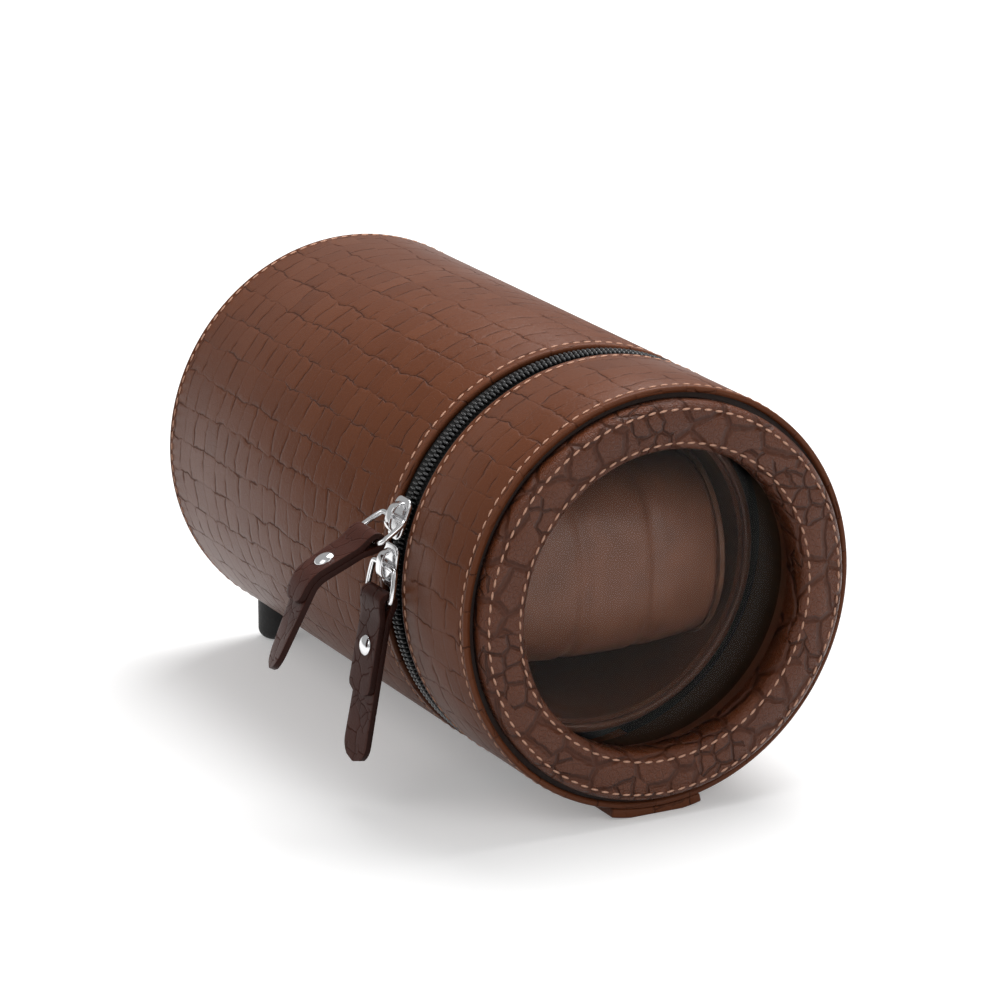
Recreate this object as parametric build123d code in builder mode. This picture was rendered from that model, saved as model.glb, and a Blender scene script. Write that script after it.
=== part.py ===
"""Cylindrical watch winder: a leather covered case on its side, with a zipped window lid,
a belt driven rotor that carries the watch cushion, and a battery drive behind it.

Stations are measured forward from the rear face, and radii from the case's axis. The origin
lies on the table, under the middle of the flat that the case half of the hinge strap rests on.
"""

from build123d import *
from math import asin, cos, degrees, radians, sin, tan
import os

os.makedirs("parts", exist_ok=True)

# Case, millimetres
case_radius = 55.0
case_length = 181.5
leather = 1.6
glue_line = 0.1
shell_wall = 3.2
lining = 1.2
soft_edge = 0.6

# Zip round the case
zip_station = 138.0
zip_gap = 10.0
shell_setback = 0.5
tape_thickness = 0.7
tape_hold = 8.4
slit = 1.0
coil_width = 2.7
coil_height = 1.5
chain_open_angle = 16.0

# Leather hinge strap underneath
strap_width = 25.0
strap_thickness = 2.4
strap_reach = 15.0
strap_overlap = 2.0
strap_end_margin = 0.3
rest_depth = 0.5
hinge_gap = 0.7

# Window end of the lid
ring_thickness = 5.2
ring_step = 1.5
ring_soft = 2.0
side_lip = 4.0
ring_face = 15.5
turned_wall = 1.0
board_thickness = 3.1
pane_lap = 4.5
pane_thickness = 2.0
pane_margin = 0.3
retainer_thickness = 4.0
retainer_lip = 2.0

# Rear end, battery bay and mode switch
board_rear_thickness = 4.0
cell_radius = 13.1
cell_length = 49.0
cell_gap = 0.6
bay_clearance = 0.8
bay_wall = 1.6
flange = 4.0
flange_thickness = 2.0
door_margin = 3.5
door_clearance = 0.3
door_skirt = 4.0
door_skirt_wall = 1.6
finger_width = 16.0
finger_depth = 1.0
finger_height = 3.0
contact_thickness = 0.6
nub_radius = 3.0
nub_height = 1.2
lever_width = 4.0
lever_height = 4.4
lever_travel = 3.0
switch_level = -31.0
switch_depth = 6.0

# Rear feet
foot_radius = 5.0
foot_spread = 26.0
foot_station = 6.0
foot_top = 16.0
foot_soft = 3.0

# Drive frame
drive_room = 8.9
plate_thickness = 3.0
frame_depth = 18.0
bulkhead_thickness = 4.0
post_radius = 3.5
post_inset = 6.6
post_count = 3
screw_radius = 1.5
screw_head = 3.0
screw_head_height = 1.8
screw_length = 9.0

# Motor, pulleys and belt
motor_radius = 12.0
motor_length = 12.0
gearbox_length = 11.0
gearbox_margin = 0.8
motor_shaft_radius = 1.5
pulley_distance = 31.0
large_pulley_radius = 20.0
small_pulley_radius = 5.0
pulley_flange = 1.2
pulley_width = 5.0
belt_width = 2.0
belt_thickness = 1.6
belt_gap = 0.1

# Control board under the battery bay
circuit_width = 40.0
circuit_depth = 26.0
circuit_thickness = 1.6
circuit_drop = 5.0
pin_margin = 3.5
pin_radius = 2.5
chip_length = 10.0
chip_width = 8.6
chip_offset = 8.0
can_radius = 2.5
can_spacing = 10.0

# Rotor
shaft_radius = 3.0
running_clearance = 0.05
bush_wall = 3.0
hub_radius = 11.0
hub_height = 2.4
cup_room = 4.8
cup_wall = 2.0
cup_gap = 8.0
cup_rim_station = 148.0
cup_floor = 2.5
cup_lining_setback = 1.5

# Cushion and the cheeks that hold it
cushion_side_room = 13.0
cushion_half_height = 26.0
cushion_half_depth = 23.0
cushion_station = 135.0
cushion_draw_in = 0.93
cushion_end = 1.8
cushion_end_lip = 0.8
cheek_thickness = 3.4
cheek_width = 26.0
cheek_front_station = 146.0
cheek_clearance = 0.3
cheek_foot = 3.0
rail_height = 5.0
rail_depth = 1.4
rail_half_length = 14.0

# Zip sliders, rings and pulls
slider_length = 11.0
slider_width = 8.0
slider_plate = 1.2
slider_clearance = 0.25
slider_web = 0.5
slider_web_length = 3.0
upper_angle = 109.0
lower_angle = 96.5
bridge_length = 8.4
bridge_height = 3.4
bridge_width = 2.4
bridge_bar = 1.1
ring_wire = 0.7
ring_length = 8.6
ring_inner_width = 12.0
ring_rest_height = 0.35
pull_width = 11.0
pull_leather = 1.6
pull_length = 43.0
pull_lap = 25.0
pull_fold_gap = 0.3
pull_bend_radius = 8.0
tip_corner = 5.0
flap_corner = 2.5
upper_ring_tilt = 60.0
upper_pull_tilt = 65.0
upper_pull_drop = 26.0
upper_bend_at = 18.5
lower_ring_tilt = 10.7
rivet_radius = 2.75
rivet_dome = 1.1
rivet_soft = 0.9
rivet_distance = 12.5
rivet_stem = 1.1

# Sizes that follow from them
shell_radius = case_radius - leather - glue_line
shell_bore = shell_radius - shell_wall
lining_outer = shell_bore - glue_line
lining_inner = lining_outer - lining
tape_outer = shell_radius
tape_inner = tape_outer - tape_thickness
rebate = tape_inner - glue_line
coil_inner = tape_outer + glue_line
coil_outer = coil_inner + coil_height
body_edge = zip_station - zip_gap / 2
lid_edge = zip_station + zip_gap / 2
body_shell_end = body_edge - shell_setback
lid_shell_start = lid_edge + shell_setback

strap_inner = case_radius + glue_line
strap_outer = strap_inner + strap_thickness
axis_height = strap_outer - rest_depth
strap_start = body_edge - strap_reach
bead_radius = strap_thickness / 2
strap_case_end = zip_station - bead_radius - hinge_gap
rest_station = (strap_start + strap_case_end) / 2

window_radius = case_radius - ring_face
pane_radius = window_radius + pane_lap
retainer_bore = window_radius + retainer_lip
ring_back = case_length - ring_thickness
ring_radius = shell_radius - ring_step + glue_line
lid_leather_end = case_length - side_lip
strap_lid_end = lid_leather_end - strap_end_margin
board_front = ring_back - glue_line
board_back = board_front - board_thickness
pane_front = board_back - glue_line
pane_back = pane_front - pane_thickness
retainer_front = pane_back - glue_line
retainer_back = retainer_front - retainer_thickness

rear_board_back = leather + glue_line
rear_board_front = rear_board_back + board_rear_thickness
tray_back = rear_board_front + glue_line
bay_half_width = 2 * cell_radius + cell_gap / 2 + bay_clearance
bay_half_height = cell_radius + bay_clearance
cell_offset = cell_radius + cell_gap / 2
cells_back = rear_board_back + door_skirt + contact_thickness + cell_gap
cells_front = cells_back + cell_length
bay_front = cells_front + contact_thickness + cell_gap

bush_radius = shaft_radius + running_clearance + bush_wall
post_circle = shell_bore - post_inset
plate_station = bay_front + drive_room
bulkhead_station = plate_station + frame_depth
cup_floor_station = bulkhead_station + cup_gap
cup_radius = lining_inner - cup_room
plate_front = plate_station + plate_thickness
bulkhead_front = bulkhead_station + bulkhead_thickness
gearbox_back = plate_station - glue_line - gearbox_length
motor_back = gearbox_back - glue_line - motor_length
pulley_back = (plate_front + bulkhead_station - pulley_width) / 2
belt_back = pulley_back + (pulley_width - belt_width) / 2
cup_floor_front = cup_floor_station + cup_floor
cup_inner = cup_radius - cup_wall
cup_lining_front = cup_floor_front + glue_line + lining
cushion_half_length = cup_inner - cushion_side_room

slider_top = coil_outer + slider_clearance + slider_plate
pivot_radius = slider_top + ring_wire + ring_rest_height


def across(s, x=0.0, z=0.0):
    """Plane across the case at station s, facing forward, centred x and z from the axis."""
    return Plane(origin=(x, rest_station - s, axis_height + z), x_dir=(1, 0, 0), z_dir=(0, -1, 0))


def lengthwise():
    """Plane through the axis, its x the station and its y the radius."""
    origin = (0, rest_station, axis_height)
    return Plane(origin=origin, x_dir=(0, -1, 0), z_dir=(-1, 0, 0))


def side_on(angle=0.0, radius=0.0, s=zip_station):
    """Plane across the case whose x points outwards at the given angle from the bottom."""
    a = radians(angle)
    outward = (-sin(a), 0, -cos(a))
    origin = (radius * outward[0], rest_station - s, axis_height + radius * outward[2])
    return Plane(origin=origin, x_dir=outward, z_dir=(0, -1, 0))


case_axis = Axis((0, rest_station, axis_height), (0, -1, 0))


def write(piece, label):
    """Names a finished piece and writes its file."""
    piece.part.label = label
    export_step(piece.part, f"parts/{label}.step")


def tube(inner, outer, back, front, soft=0.0):
    """Plain tube round the case's axis, with its outer edges rounded by soft."""
    with BuildPart() as piece:
        with BuildSketch(across(back)):
            Circle(outer)
            Circle(inner, mode=Mode.SUBTRACT)
        extrude(amount=front - back)
        if soft:
            rims = piece.edges().filter_by(GeomType.CIRCLE).sort_by(SortBy.RADIUS)[-2:]
            fillet(rims, soft)
    return piece


def disc(radius, back, front, x=0.0, z=0.0, soft=0.0):
    """Plain round block, with both rims rounded by soft."""
    with BuildPart() as piece:
        with BuildSketch(across(back, x, z)):
            Circle(radius)
        extrude(amount=front - back)
        if soft:
            fillet(piece.edges().filter_by(GeomType.CIRCLE), soft)
    return piece


def wedge(half_angle, reach):
    """Flat triangle from the axis, opening along the plane's x."""
    spread = reach * tan(radians(half_angle))
    with BuildSketch(Plane.XY) as piece:
        with BuildLine():
            Polyline((0, 0), (reach, spread), (reach, -spread), close=True)
        make_face()
    return piece.sketch_local


# Body: shell with a rebate for the zip tape, leather outside, lining inside
with BuildPart() as body_shell:
    with BuildSketch(lengthwise()):
        with BuildLine():
            Polyline(
                (rear_board_back - glue_line, shell_bore),
                (rear_board_back - glue_line, shell_radius),
                (body_shell_end - tape_hold, shell_radius),
                (body_shell_end - tape_hold, rebate),
                (body_shell_end, rebate),
                (body_shell_end, shell_bore),
                close=True,
            )
        make_face()
    revolve(axis=case_axis)
write(body_shell, "body_shell")
write(tube(shell_radius + glue_line, case_radius, 0, body_edge, soft_edge), "body_leather")
write(tube(lining_inner, lining_outer, bulkhead_front + glue_line, body_shell_end), "body_lining")

# Rear end: board and leather, with the battery opening and the slot of the mode switch
door_half_width = bay_half_width + door_margin
door_half_height = bay_half_height + door_margin
slot_half_width = lever_width / 2 + lever_travel + door_clearance
slot_half_height = lever_height / 2 + door_clearance


def rear_sheet(radius, back, front, half_width, half_height, soft=0.0):
    """Round sheet with a rectangular battery opening and the switch's slot."""
    with BuildPart() as piece:
        with BuildSketch(across(back)):
            Circle(radius)
            Rectangle(2 * half_width, 2 * half_height, mode=Mode.SUBTRACT)
            with Locations((0, switch_level)):
                Rectangle(2 * slot_half_width, 2 * slot_half_height, mode=Mode.SUBTRACT)
        extrude(amount=front - back)
        if soft:
            fillet(piece.edges().filter_by(GeomType.CIRCLE).sort_by(Axis.Y)[-1], soft)
    return piece


opening_half_width = door_half_width + door_clearance
opening_half_height = door_half_height + door_clearance
rear_leather = rear_sheet(
    shell_radius, 0, leather, opening_half_width, opening_half_height, soft_edge
)
write(rear_leather, "rear_leather")
rear_board = rear_sheet(
    lining_outer, rear_board_back, rear_board_front, bay_half_width, bay_half_height
)
write(rear_board, "rear_board")

# Battery tray behind the rear board, open to the rear
with BuildPart() as battery_tray:
    with BuildSketch(across(tray_back)):
        Rectangle(2 * (bay_half_width + bay_wall), 2 * (bay_half_height + bay_wall))
    extrude(amount=bay_front + bay_wall - tray_back)
    with BuildSketch(across(tray_back)):
        Rectangle(2 * (bay_half_width + flange), 2 * (bay_half_height + flange))
    extrude(amount=flange_thickness)
    with BuildSketch(across(tray_back)):
        Rectangle(2 * bay_half_width, 2 * bay_half_height)
    extrude(amount=bay_front - tray_back, mode=Mode.SUBTRACT)
write(battery_tray, "battery_tray")


def cell(side):
    """Round cell with its contact nub at the front."""
    with BuildPart() as piece:
        with BuildSketch(across(cells_back, side * cell_offset)):
            Circle(cell_radius)
        extrude(amount=cell_length - nub_height)
        fillet(piece.edges().filter_by(GeomType.CIRCLE), soft_edge)
        with BuildSketch(across(cells_front - nub_height, side * cell_offset)):
            Circle(nub_radius)
        extrude(amount=nub_height)
    return piece


write(cell(-1), "battery_cell_left")
write(cell(1), "battery_cell_right")


def contact_strip(back, front):
    """Sheet metal strip across both cells, with a pad that presses on each."""
    with BuildPart() as piece:
        with BuildSketch(across(back)):
            RectangleRounded(4 * cell_radius - nub_radius, 4 * nub_radius, nub_radius)
        extrude(amount=front - back)
    return piece


write(contact_strip(cells_front + glue_line, bay_front - glue_line), "tray_contact")

# Battery door: a leather coloured plate with a skirt that pushes into the tray's mouth
with BuildPart() as battery_door:
    with BuildSketch(across(0)):
        Rectangle(2 * door_half_width, 2 * door_half_height)
    extrude(amount=leather)
    fillet(battery_door.edges().filter_by(Axis.Y), 2 * soft_edge)
    skirt_half_width = bay_half_width - door_clearance
    skirt_half_height = bay_half_height - door_clearance
    with BuildSketch(across(leather)):
        Rectangle(2 * skirt_half_width, 2 * skirt_half_height)
        inner_half_width = skirt_half_width - door_skirt_wall
        inner_half_height = skirt_half_height - door_skirt_wall
        Rectangle(2 * inner_half_width, 2 * inner_half_height, mode=Mode.SUBTRACT)
    extrude(amount=door_skirt)
    with BuildSketch(across(0, 0, door_half_height - finger_height)):
        SlotOverall(finger_width, finger_height)
    extrude(amount=finger_depth, mode=Mode.SUBTRACT)
write(battery_door, "battery_door")
write(contact_strip(leather + glue_line, cells_back - door_clearance), "door_contact")

# Mode switch: a lever in the slot and its body behind the rear board
with BuildPart() as mode_lever:
    with BuildSketch(across(0, 0, switch_level)):
        Rectangle(lever_width, lever_height)
    extrude(amount=rear_board_front - glue_line)
    fillet(mode_lever.faces().sort_by(Axis.Y)[-1].edges(), soft_edge)
write(mode_lever, "mode_lever")
with BuildPart() as mode_switch:
    with BuildSketch(across(tray_back, 0, switch_level)):
        Rectangle(2 * slot_half_width + 2 * bay_wall, 2 * slot_half_height + 2 * bay_wall)
    extrude(amount=switch_depth)
write(mode_switch, "mode_switch")


def foot(side):
    """Rubber stud that stands on the table and follows the case where it meets it."""
    with BuildPart() as piece:
        centre = (side * foot_spread, rest_station - foot_station, 0)
        with BuildSketch(Plane(origin=centre)):
            Circle(foot_radius)
        extrude(amount=foot_top)
        fillet(piece.edges().group_by(Axis.Z)[0], foot_soft)
        with BuildSketch(across(0)):
            Circle(case_radius + glue_line)
        extrude(amount=2 * foot_station, mode=Mode.SUBTRACT)
    return piece


write(foot(-1), "foot_left")
write(foot(1), "foot_right")

# Drive frame: rear plate and bulkhead, held apart by posts and screws
with BuildPart() as drive_plate:
    with BuildSketch(across(plate_station)):
        Circle(lining_outer)
        Circle(bush_radius + glue_line, mode=Mode.SUBTRACT)
        with Locations((0, pulley_distance)):
            Circle(small_pulley_radius, mode=Mode.SUBTRACT)
    extrude(amount=plate_thickness)
write(drive_plate, "drive_plate")

with BuildPart() as bulkhead:
    with BuildSketch(across(bulkhead_station)):
        Circle(lining_outer)
        Circle(bush_radius + glue_line, mode=Mode.SUBTRACT)
        with PolarLocations(post_circle, post_count, start_angle=-90):
            Circle(screw_radius + glue_line, mode=Mode.SUBTRACT)
    extrude(amount=bulkhead_thickness)
write(bulkhead, "bulkhead")

with BuildPart() as frame_posts:
    with BuildSketch(across(plate_front)):
        with PolarLocations(post_circle, post_count, start_angle=-90):
            Circle(post_radius)
    extrude(amount=bulkhead_station - plate_front)
    with BuildSketch(across(bulkhead_station - screw_length)):
        with PolarLocations(post_circle, post_count, start_angle=-90):
            Circle(screw_radius + glue_line)
    extrude(amount=screw_length, mode=Mode.SUBTRACT)
write(frame_posts, "frame_posts")

with BuildPart() as frame_screws:
    with BuildSketch(across(bulkhead_front)):
        with PolarLocations(post_circle, post_count, start_angle=-90):
            Circle(screw_head)
    extrude(amount=screw_head_height)
    fillet(frame_screws.edges().group_by(Axis.Y)[0], soft_edge)
    with BuildSketch(across(bulkhead_station - screw_length + glue_line)):
        with PolarLocations(post_circle, post_count, start_angle=-90):
            Circle(screw_radius)
    extrude(amount=bulkhead_front - bulkhead_station + screw_length - glue_line)
write(frame_screws, "frame_screws")

bush_bore = shaft_radius + running_clearance
write(tube(bush_bore, bush_radius, plate_station, plate_front), "rear_bush")
write(tube(bush_bore, bush_radius, bulkhead_station, bulkhead_front), "front_bush")

# Motor and gearbox behind the plate, above the axis
motor_front = motor_back + motor_length
write(disc(motor_radius, motor_back, motor_front, 0, pulley_distance, soft_edge), "motor_can")
with BuildPart() as gearbox:
    with BuildSketch(across(gearbox_back, 0, pulley_distance)):
        Circle(motor_radius + gearbox_margin)
        Circle(motor_shaft_radius + running_clearance, mode=Mode.SUBTRACT)
    extrude(amount=gearbox_length)
write(gearbox, "gearbox")


def pulley(radius, centre_height, shaft, shaft_back, bore):
    """Grooved pulley, on its own stub shaft or bored for the rotor's."""
    with BuildPart() as piece:
        with BuildSketch(across(pulley_back, 0, centre_height)):
            Circle(radius + pulley_flange)
        extrude(amount=pulley_width)
        with BuildSketch(across(belt_back - belt_gap, 0, centre_height)):
            Circle(radius + 2 * pulley_flange)
            Circle(radius - belt_gap, mode=Mode.SUBTRACT)
        extrude(amount=belt_width + 2 * belt_gap, mode=Mode.SUBTRACT)
        if shaft:
            with BuildSketch(across(shaft_back, 0, centre_height)):
                Circle(shaft)
            extrude(amount=pulley_back - shaft_back)
        if bore:
            with BuildSketch(across(pulley_back, 0, centre_height)):
                Circle(bore)
            extrude(amount=pulley_width, mode=Mode.SUBTRACT)
    return piece


write(pulley(large_pulley_radius, 0, 0, 0, shaft_radius + glue_line), "rotor_pulley")
motor_pulley = pulley(
    small_pulley_radius, pulley_distance, motor_shaft_radius, gearbox_back + glue_line, 0
)
write(motor_pulley, "motor_pulley")

# Belt: two arcs joined by the tangents common to both pulleys
belt_lean = asin((large_pulley_radius - small_pulley_radius) / pulley_distance)


def belt_outline(stand_off):
    """Flat face inside a loop round both pulleys, standing off their grooves."""
    low = large_pulley_radius + stand_off
    high = small_pulley_radius + stand_off
    low_x, low_y = low * cos(belt_lean), low * sin(belt_lean)
    high_x, high_y = high * cos(belt_lean), pulley_distance + high * sin(belt_lean)
    with BuildSketch(Plane.XY) as piece:
        with BuildLine():
            Line((low_x, low_y), (high_x, high_y))
            ThreePointArc((high_x, high_y), (0, pulley_distance + high), (-high_x, high_y))
            Line((-high_x, high_y), (-low_x, low_y))
            ThreePointArc((-low_x, low_y), (0, -low), (low_x, low_y))
        make_face()
    return piece.sketch_local


with BuildPart() as drive_belt:
    with BuildSketch(across(belt_back)):
        add(belt_outline(belt_gap + belt_thickness))
        add(belt_outline(belt_gap), mode=Mode.SUBTRACT)
    extrude(amount=belt_width)
write(drive_belt, "drive_belt")

# Control board under the battery tray
tray_bottom = -(bay_half_height + bay_wall)
circuit_top = tray_bottom - circuit_drop
circuit_station = bay_front - circuit_depth / 2


def under_tray(z):
    """Level plane under the tray, centred on the control board and facing down."""
    origin = (0, rest_station - circuit_station, axis_height + z)
    return Plane(origin=origin, x_dir=(1, 0, 0), z_dir=(0, 0, -1))


pin_x = circuit_width - 2 * pin_margin
pin_y = circuit_depth - 2 * pin_margin
with BuildPart() as control_board:
    with BuildSketch(under_tray(circuit_top)):
        Rectangle(circuit_width, circuit_depth)
        with GridLocations(pin_x, pin_y, 2, 2):
            Circle(pin_radius / 2 + glue_line, mode=Mode.SUBTRACT)
    extrude(amount=circuit_thickness)
write(control_board, "control_board")

with BuildPart() as board_pins:
    with BuildSketch(under_tray(tray_bottom - glue_line)):
        with GridLocations(pin_x, pin_y, 2, 2):
            Circle(pin_radius)
    extrude(amount=circuit_drop - 2 * glue_line)
    with BuildSketch(under_tray(circuit_top + glue_line)):
        with GridLocations(pin_x, pin_y, 2, 2):
            Circle(pin_radius / 2)
    extrude(amount=2 * circuit_thickness)
write(board_pins, "board_pins")

with BuildPart() as board_chips:
    with BuildSketch(under_tray(circuit_top - circuit_thickness - glue_line)):
        with Locations((-chip_offset, 0)):
            Rectangle(chip_length, chip_width)
        with Locations((can_spacing / 2, 0), (can_spacing * 3 / 2, 0)):
            Circle(can_radius)
    extrude(amount=circuit_thickness)
write(board_chips, "board_chips")

# Rotor: shaft, hub, cup and its lining
write(disc(shaft_radius, plate_station - plate_thickness, cup_floor_station), "rotor_shaft")
with BuildPart() as rotor_hub:
    with BuildSketch(across(cup_floor_front + glue_line)):
        Circle(hub_radius)
    extrude(amount=hub_height)
    fillet(rotor_hub.edges().group_by(Axis.Y)[0], soft_edge)
write(rotor_hub, "rotor_hub")

with BuildPart() as rotor_cup:
    with BuildSketch(across(cup_floor_station)):
        Circle(cup_radius)
    extrude(amount=cup_rim_station - cup_floor_station)
    with BuildSketch(across(cup_floor_front)):
        Circle(cup_inner)
    extrude(amount=cup_rim_station - cup_floor_front, mode=Mode.SUBTRACT)
    fillet(rotor_cup.edges().group_by(Axis.Y)[0], soft_edge)
write(rotor_cup, "rotor_cup")

with BuildPart() as cup_lining:
    with BuildSketch(across(cup_floor_front + glue_line)):
        Circle(cup_inner - glue_line)
        Circle(hub_radius + glue_line, mode=Mode.SUBTRACT)
    extrude(amount=lining)
    with BuildSketch(across(cup_lining_front)):
        Circle(cup_inner - glue_line)
        Circle(cup_inner - glue_line - lining, mode=Mode.SUBTRACT)
    extrude(amount=cup_rim_station - cup_lining_setback - cup_lining_front)
write(cup_lining, "cup_lining")

# Cheeks beside the cushion, each with a foot and a groove for the cushion's rail
cheek_inner = cushion_half_length + cushion_end + cheek_clearance
cheek_back = cup_lining_front + glue_line
groove_back = cushion_station - rail_half_length - cheek_clearance


def cheek(side):
    """Upright plate on the cup's floor, grooved lengthwise and open at the front."""
    with BuildPart() as piece:
        with BuildSketch(across(cheek_back, side * (cheek_inner + cheek_thickness / 2))):
            Rectangle(cheek_thickness, cheek_width)
        extrude(amount=cheek_front_station - cheek_back)
        fillet(piece.edges().filter_by(Axis.X).group_by(Axis.Y)[0], cheek_width / 4)
        with BuildSketch(across(cheek_back, side * (cheek_inner - cheek_foot / 2))):
            Rectangle(cheek_foot, cheek_width)
        extrude(amount=cheek_thickness)
        groove_depth = rail_depth + cheek_clearance
        with BuildSketch(across(groove_back, side * (cheek_inner + groove_depth / 2))):
            Rectangle(groove_depth, rail_height + 2 * cheek_clearance)
        extrude(amount=cheek_front_station - groove_back, mode=Mode.SUBTRACT)
    return piece


write(cheek(-1), "cheek_left")
write(cheek(1), "cheek_right")


def cushion_plane(x):
    """Plane across the cushion at x, its x forward and its y up or down."""
    origin = (x, rest_station - cushion_station, axis_height)
    return Plane(origin=origin, x_dir=(0, -1, 0), z_dir=(1, 0, 0))


# Cushion: a crowned roll, drawn in towards the stiff cap at each end
with BuildPart() as cushion_pad:
    for x, share in ((-1, cushion_draw_in), (0, 1.0), (1, cushion_draw_in)):
        with BuildSketch(cushion_plane(x * cushion_half_length)):
            Ellipse(cushion_half_depth * share, cushion_half_height * share)
    loft()
write(cushion_pad, "cushion_pad")


def cushion_cap(side):
    """Stiff oval cap with the rail that runs in the cheek's groove."""
    near = cushion_half_length + glue_line
    with BuildPart() as piece:
        half_depth = cushion_half_depth * cushion_draw_in + cushion_end_lip
        half_height = cushion_half_height * cushion_draw_in + cushion_end_lip
        with BuildSketch(cushion_plane(side * near)):
            Ellipse(half_depth, half_height)
        extrude(amount=side * (cushion_end - glue_line))
        fillet(piece.edges().sort_by(Axis.X)[-1 if side > 0 else 0], soft_edge)
        with BuildSketch(cushion_plane(side * near)):
            Rectangle(2 * rail_half_length, rail_height)
        extrude(amount=side * (cushion_end - glue_line + cheek_clearance + rail_depth))
    return piece


write(cushion_cap(-1), "cushion_cap_left")
write(cushion_cap(1), "cushion_cap_right")

# Lid: shell with its rebate, side leather, lining, board, pane and the ring over them
with BuildPart() as lid_shell:
    with BuildSketch(lengthwise()):
        with BuildLine():
            Polyline(
                (lid_shell_start, shell_bore),
                (lid_shell_start, rebate),
                (lid_shell_start + tape_hold, rebate),
                (lid_shell_start + tape_hold, shell_radius),
                (board_back - glue_line, shell_radius),
                (board_back - glue_line, shell_bore),
                close=True,
            )
        make_face()
    revolve(axis=case_axis)
write(lid_shell, "lid_shell")
lid_leather = tube(shell_radius + glue_line, case_radius, lid_edge, lid_leather_end, soft_edge)
write(lid_leather, "lid_leather")
write(tube(lining_inner, lining_outer, lid_shell_start, retainer_back - glue_line), "lid_lining")
lid_board = tube(
    window_radius + turned_wall + glue_line, shell_radius, board_back, board_front
)
write(lid_board, "lid_board")
write(disc(pane_radius, pane_back, pane_front), "window_pane")

with BuildPart() as pane_retainer:
    with BuildSketch(across(retainer_back)):
        Circle(lining_outer)
        Circle(retainer_bore, mode=Mode.SUBTRACT)
    extrude(amount=retainer_thickness)
    with BuildSketch(across(retainer_front)):
        Circle(lining_outer)
        Circle(pane_radius + pane_margin, mode=Mode.SUBTRACT)
    extrude(amount=pane_thickness + glue_line)
write(pane_retainer, "pane_retainer")

with BuildPart() as front_ring:
    with BuildSketch(across(ring_back)):
        Circle(ring_radius)
        Circle(window_radius, mode=Mode.SUBTRACT)
    extrude(amount=ring_thickness)
    fillet(front_ring.edges().group_by(Axis.Y)[0], ring_soft)
    with BuildSketch(across(board_back)):
        Circle(window_radius + turned_wall)
        Circle(window_radius, mode=Mode.SUBTRACT)
    extrude(amount=ring_back - board_back)
write(front_ring, "front_ring")


def open_tube(inner, outer, back, front):
    """Tube that stops short of the hinge strap at the bottom."""
    with BuildPart() as piece:
        with BuildSketch(side_on(s=back)):
            Circle(outer)
            Circle(inner, mode=Mode.SUBTRACT)
            add(wedge(chain_open_angle, 2 * outer), mode=Mode.SUBTRACT)
        extrude(amount=front - back)
    return piece


# Zip: a tape and a coil on each side of the slit
slit_back = zip_station - slit / 2
slit_front = zip_station + slit / 2
tape_body_back = body_shell_end - tape_hold + glue_line
tape_lid_front = lid_shell_start + tape_hold - glue_line
write(open_tube(tape_inner, tape_outer, tape_body_back, slit_back), "zip_tape_body")
write(open_tube(tape_inner, tape_outer, slit_front, tape_lid_front), "zip_tape_lid")
write(open_tube(coil_inner, coil_outer, slit_back - coil_width, slit_back), "zip_coil_body")
write(open_tube(coil_inner, coil_outer, slit_front, slit_front + coil_width), "zip_coil_lid")

# Hinge strap: curved against the case, flat across the gap, and cut level with the table
strap_half_angle = degrees(asin(strap_width / 2 / strap_outer))


def strap(curved_back, curved_front, flat_back, flat_front, bead):
    """One half of the strap, the lid's with the bead on which it folds."""
    with BuildPart() as piece:
        with BuildSketch(side_on(s=curved_back)):
            Circle(strap_outer)
            Circle(strap_inner, mode=Mode.SUBTRACT)
            add(wedge(strap_half_angle, 2 * strap_outer), mode=Mode.INTERSECT)
        extrude(amount=curved_front - curved_back)
        with BuildSketch(across(flat_back, 0, bead_radius - axis_height)):
            Rectangle(strap_width, strap_thickness)
        extrude(amount=flat_front - flat_back)
        if bead:
            hinge = (-strap_width / 2, rest_station - zip_station, bead_radius)
            with BuildSketch(Plane(origin=hinge, x_dir=(0, 1, 0), z_dir=(1, 0, 0))):
                Circle(bead_radius)
            extrude(amount=strap_width)
        split(bisect_by=Plane.XY, keep=Keep.TOP)
    return piece


strap_body = strap(strap_start, body_edge + strap_overlap, body_edge, strap_case_end, False)
write(strap_body, "hinge_strap_body")
strap_lid = strap(lid_edge - strap_overlap, strap_lid_end, zip_station, lid_edge, True)
write(strap_lid, "hinge_strap_lid")


def slider(angle):
    """Two plates joined by a web between the tapes, under a bridge for the ring."""
    back = zip_station - slider_width / 2
    under_outer = tape_inner - slider_clearance
    with BuildPart() as piece:
        for outer in (slider_top, under_outer):
            with BuildSketch(side_on(angle, 0, back)):
                Circle(outer)
                Circle(outer - slider_plate, mode=Mode.SUBTRACT)
                half_angle = degrees(slider_length / 2 / case_radius)
                add(wedge(half_angle, 2 * outer), mode=Mode.INTERSECT)
            extrude(amount=slider_width)
        corners = piece.edges().filter_by(lambda e: abs(e.length - slider_plate) < glue_line)
        fillet(corners, slider_width / 4)
        with BuildSketch(side_on(angle, 0, zip_station - slider_web / 2)):
            with Locations(((slider_top + under_outer) / 2 - slider_plate / 2, 0)):
                Rectangle(slider_top - under_outer, slider_web_length)
        extrude(amount=slider_web)
        with BuildSketch(side_on(angle, slider_top, zip_station - bridge_width / 2)):
            with Locations((bridge_height / 2 - bridge_bar / 2, 0)):
                RectangleRounded(bridge_height + bridge_bar, bridge_length, bridge_bar)
            hole_height = bridge_height - bridge_bar
            hole_length = bridge_length - 2 * bridge_bar
            with Locations((hole_height / 2, 0)):
                Rectangle(hole_height, hole_length, mode=Mode.SUBTRACT)
            with Locations((-slider_plate / 2 - bridge_bar, 0)):
                Rectangle(slider_plate, bridge_length, mode=Mode.SUBTRACT)
        extrude(amount=bridge_width)
    return piece


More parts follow.
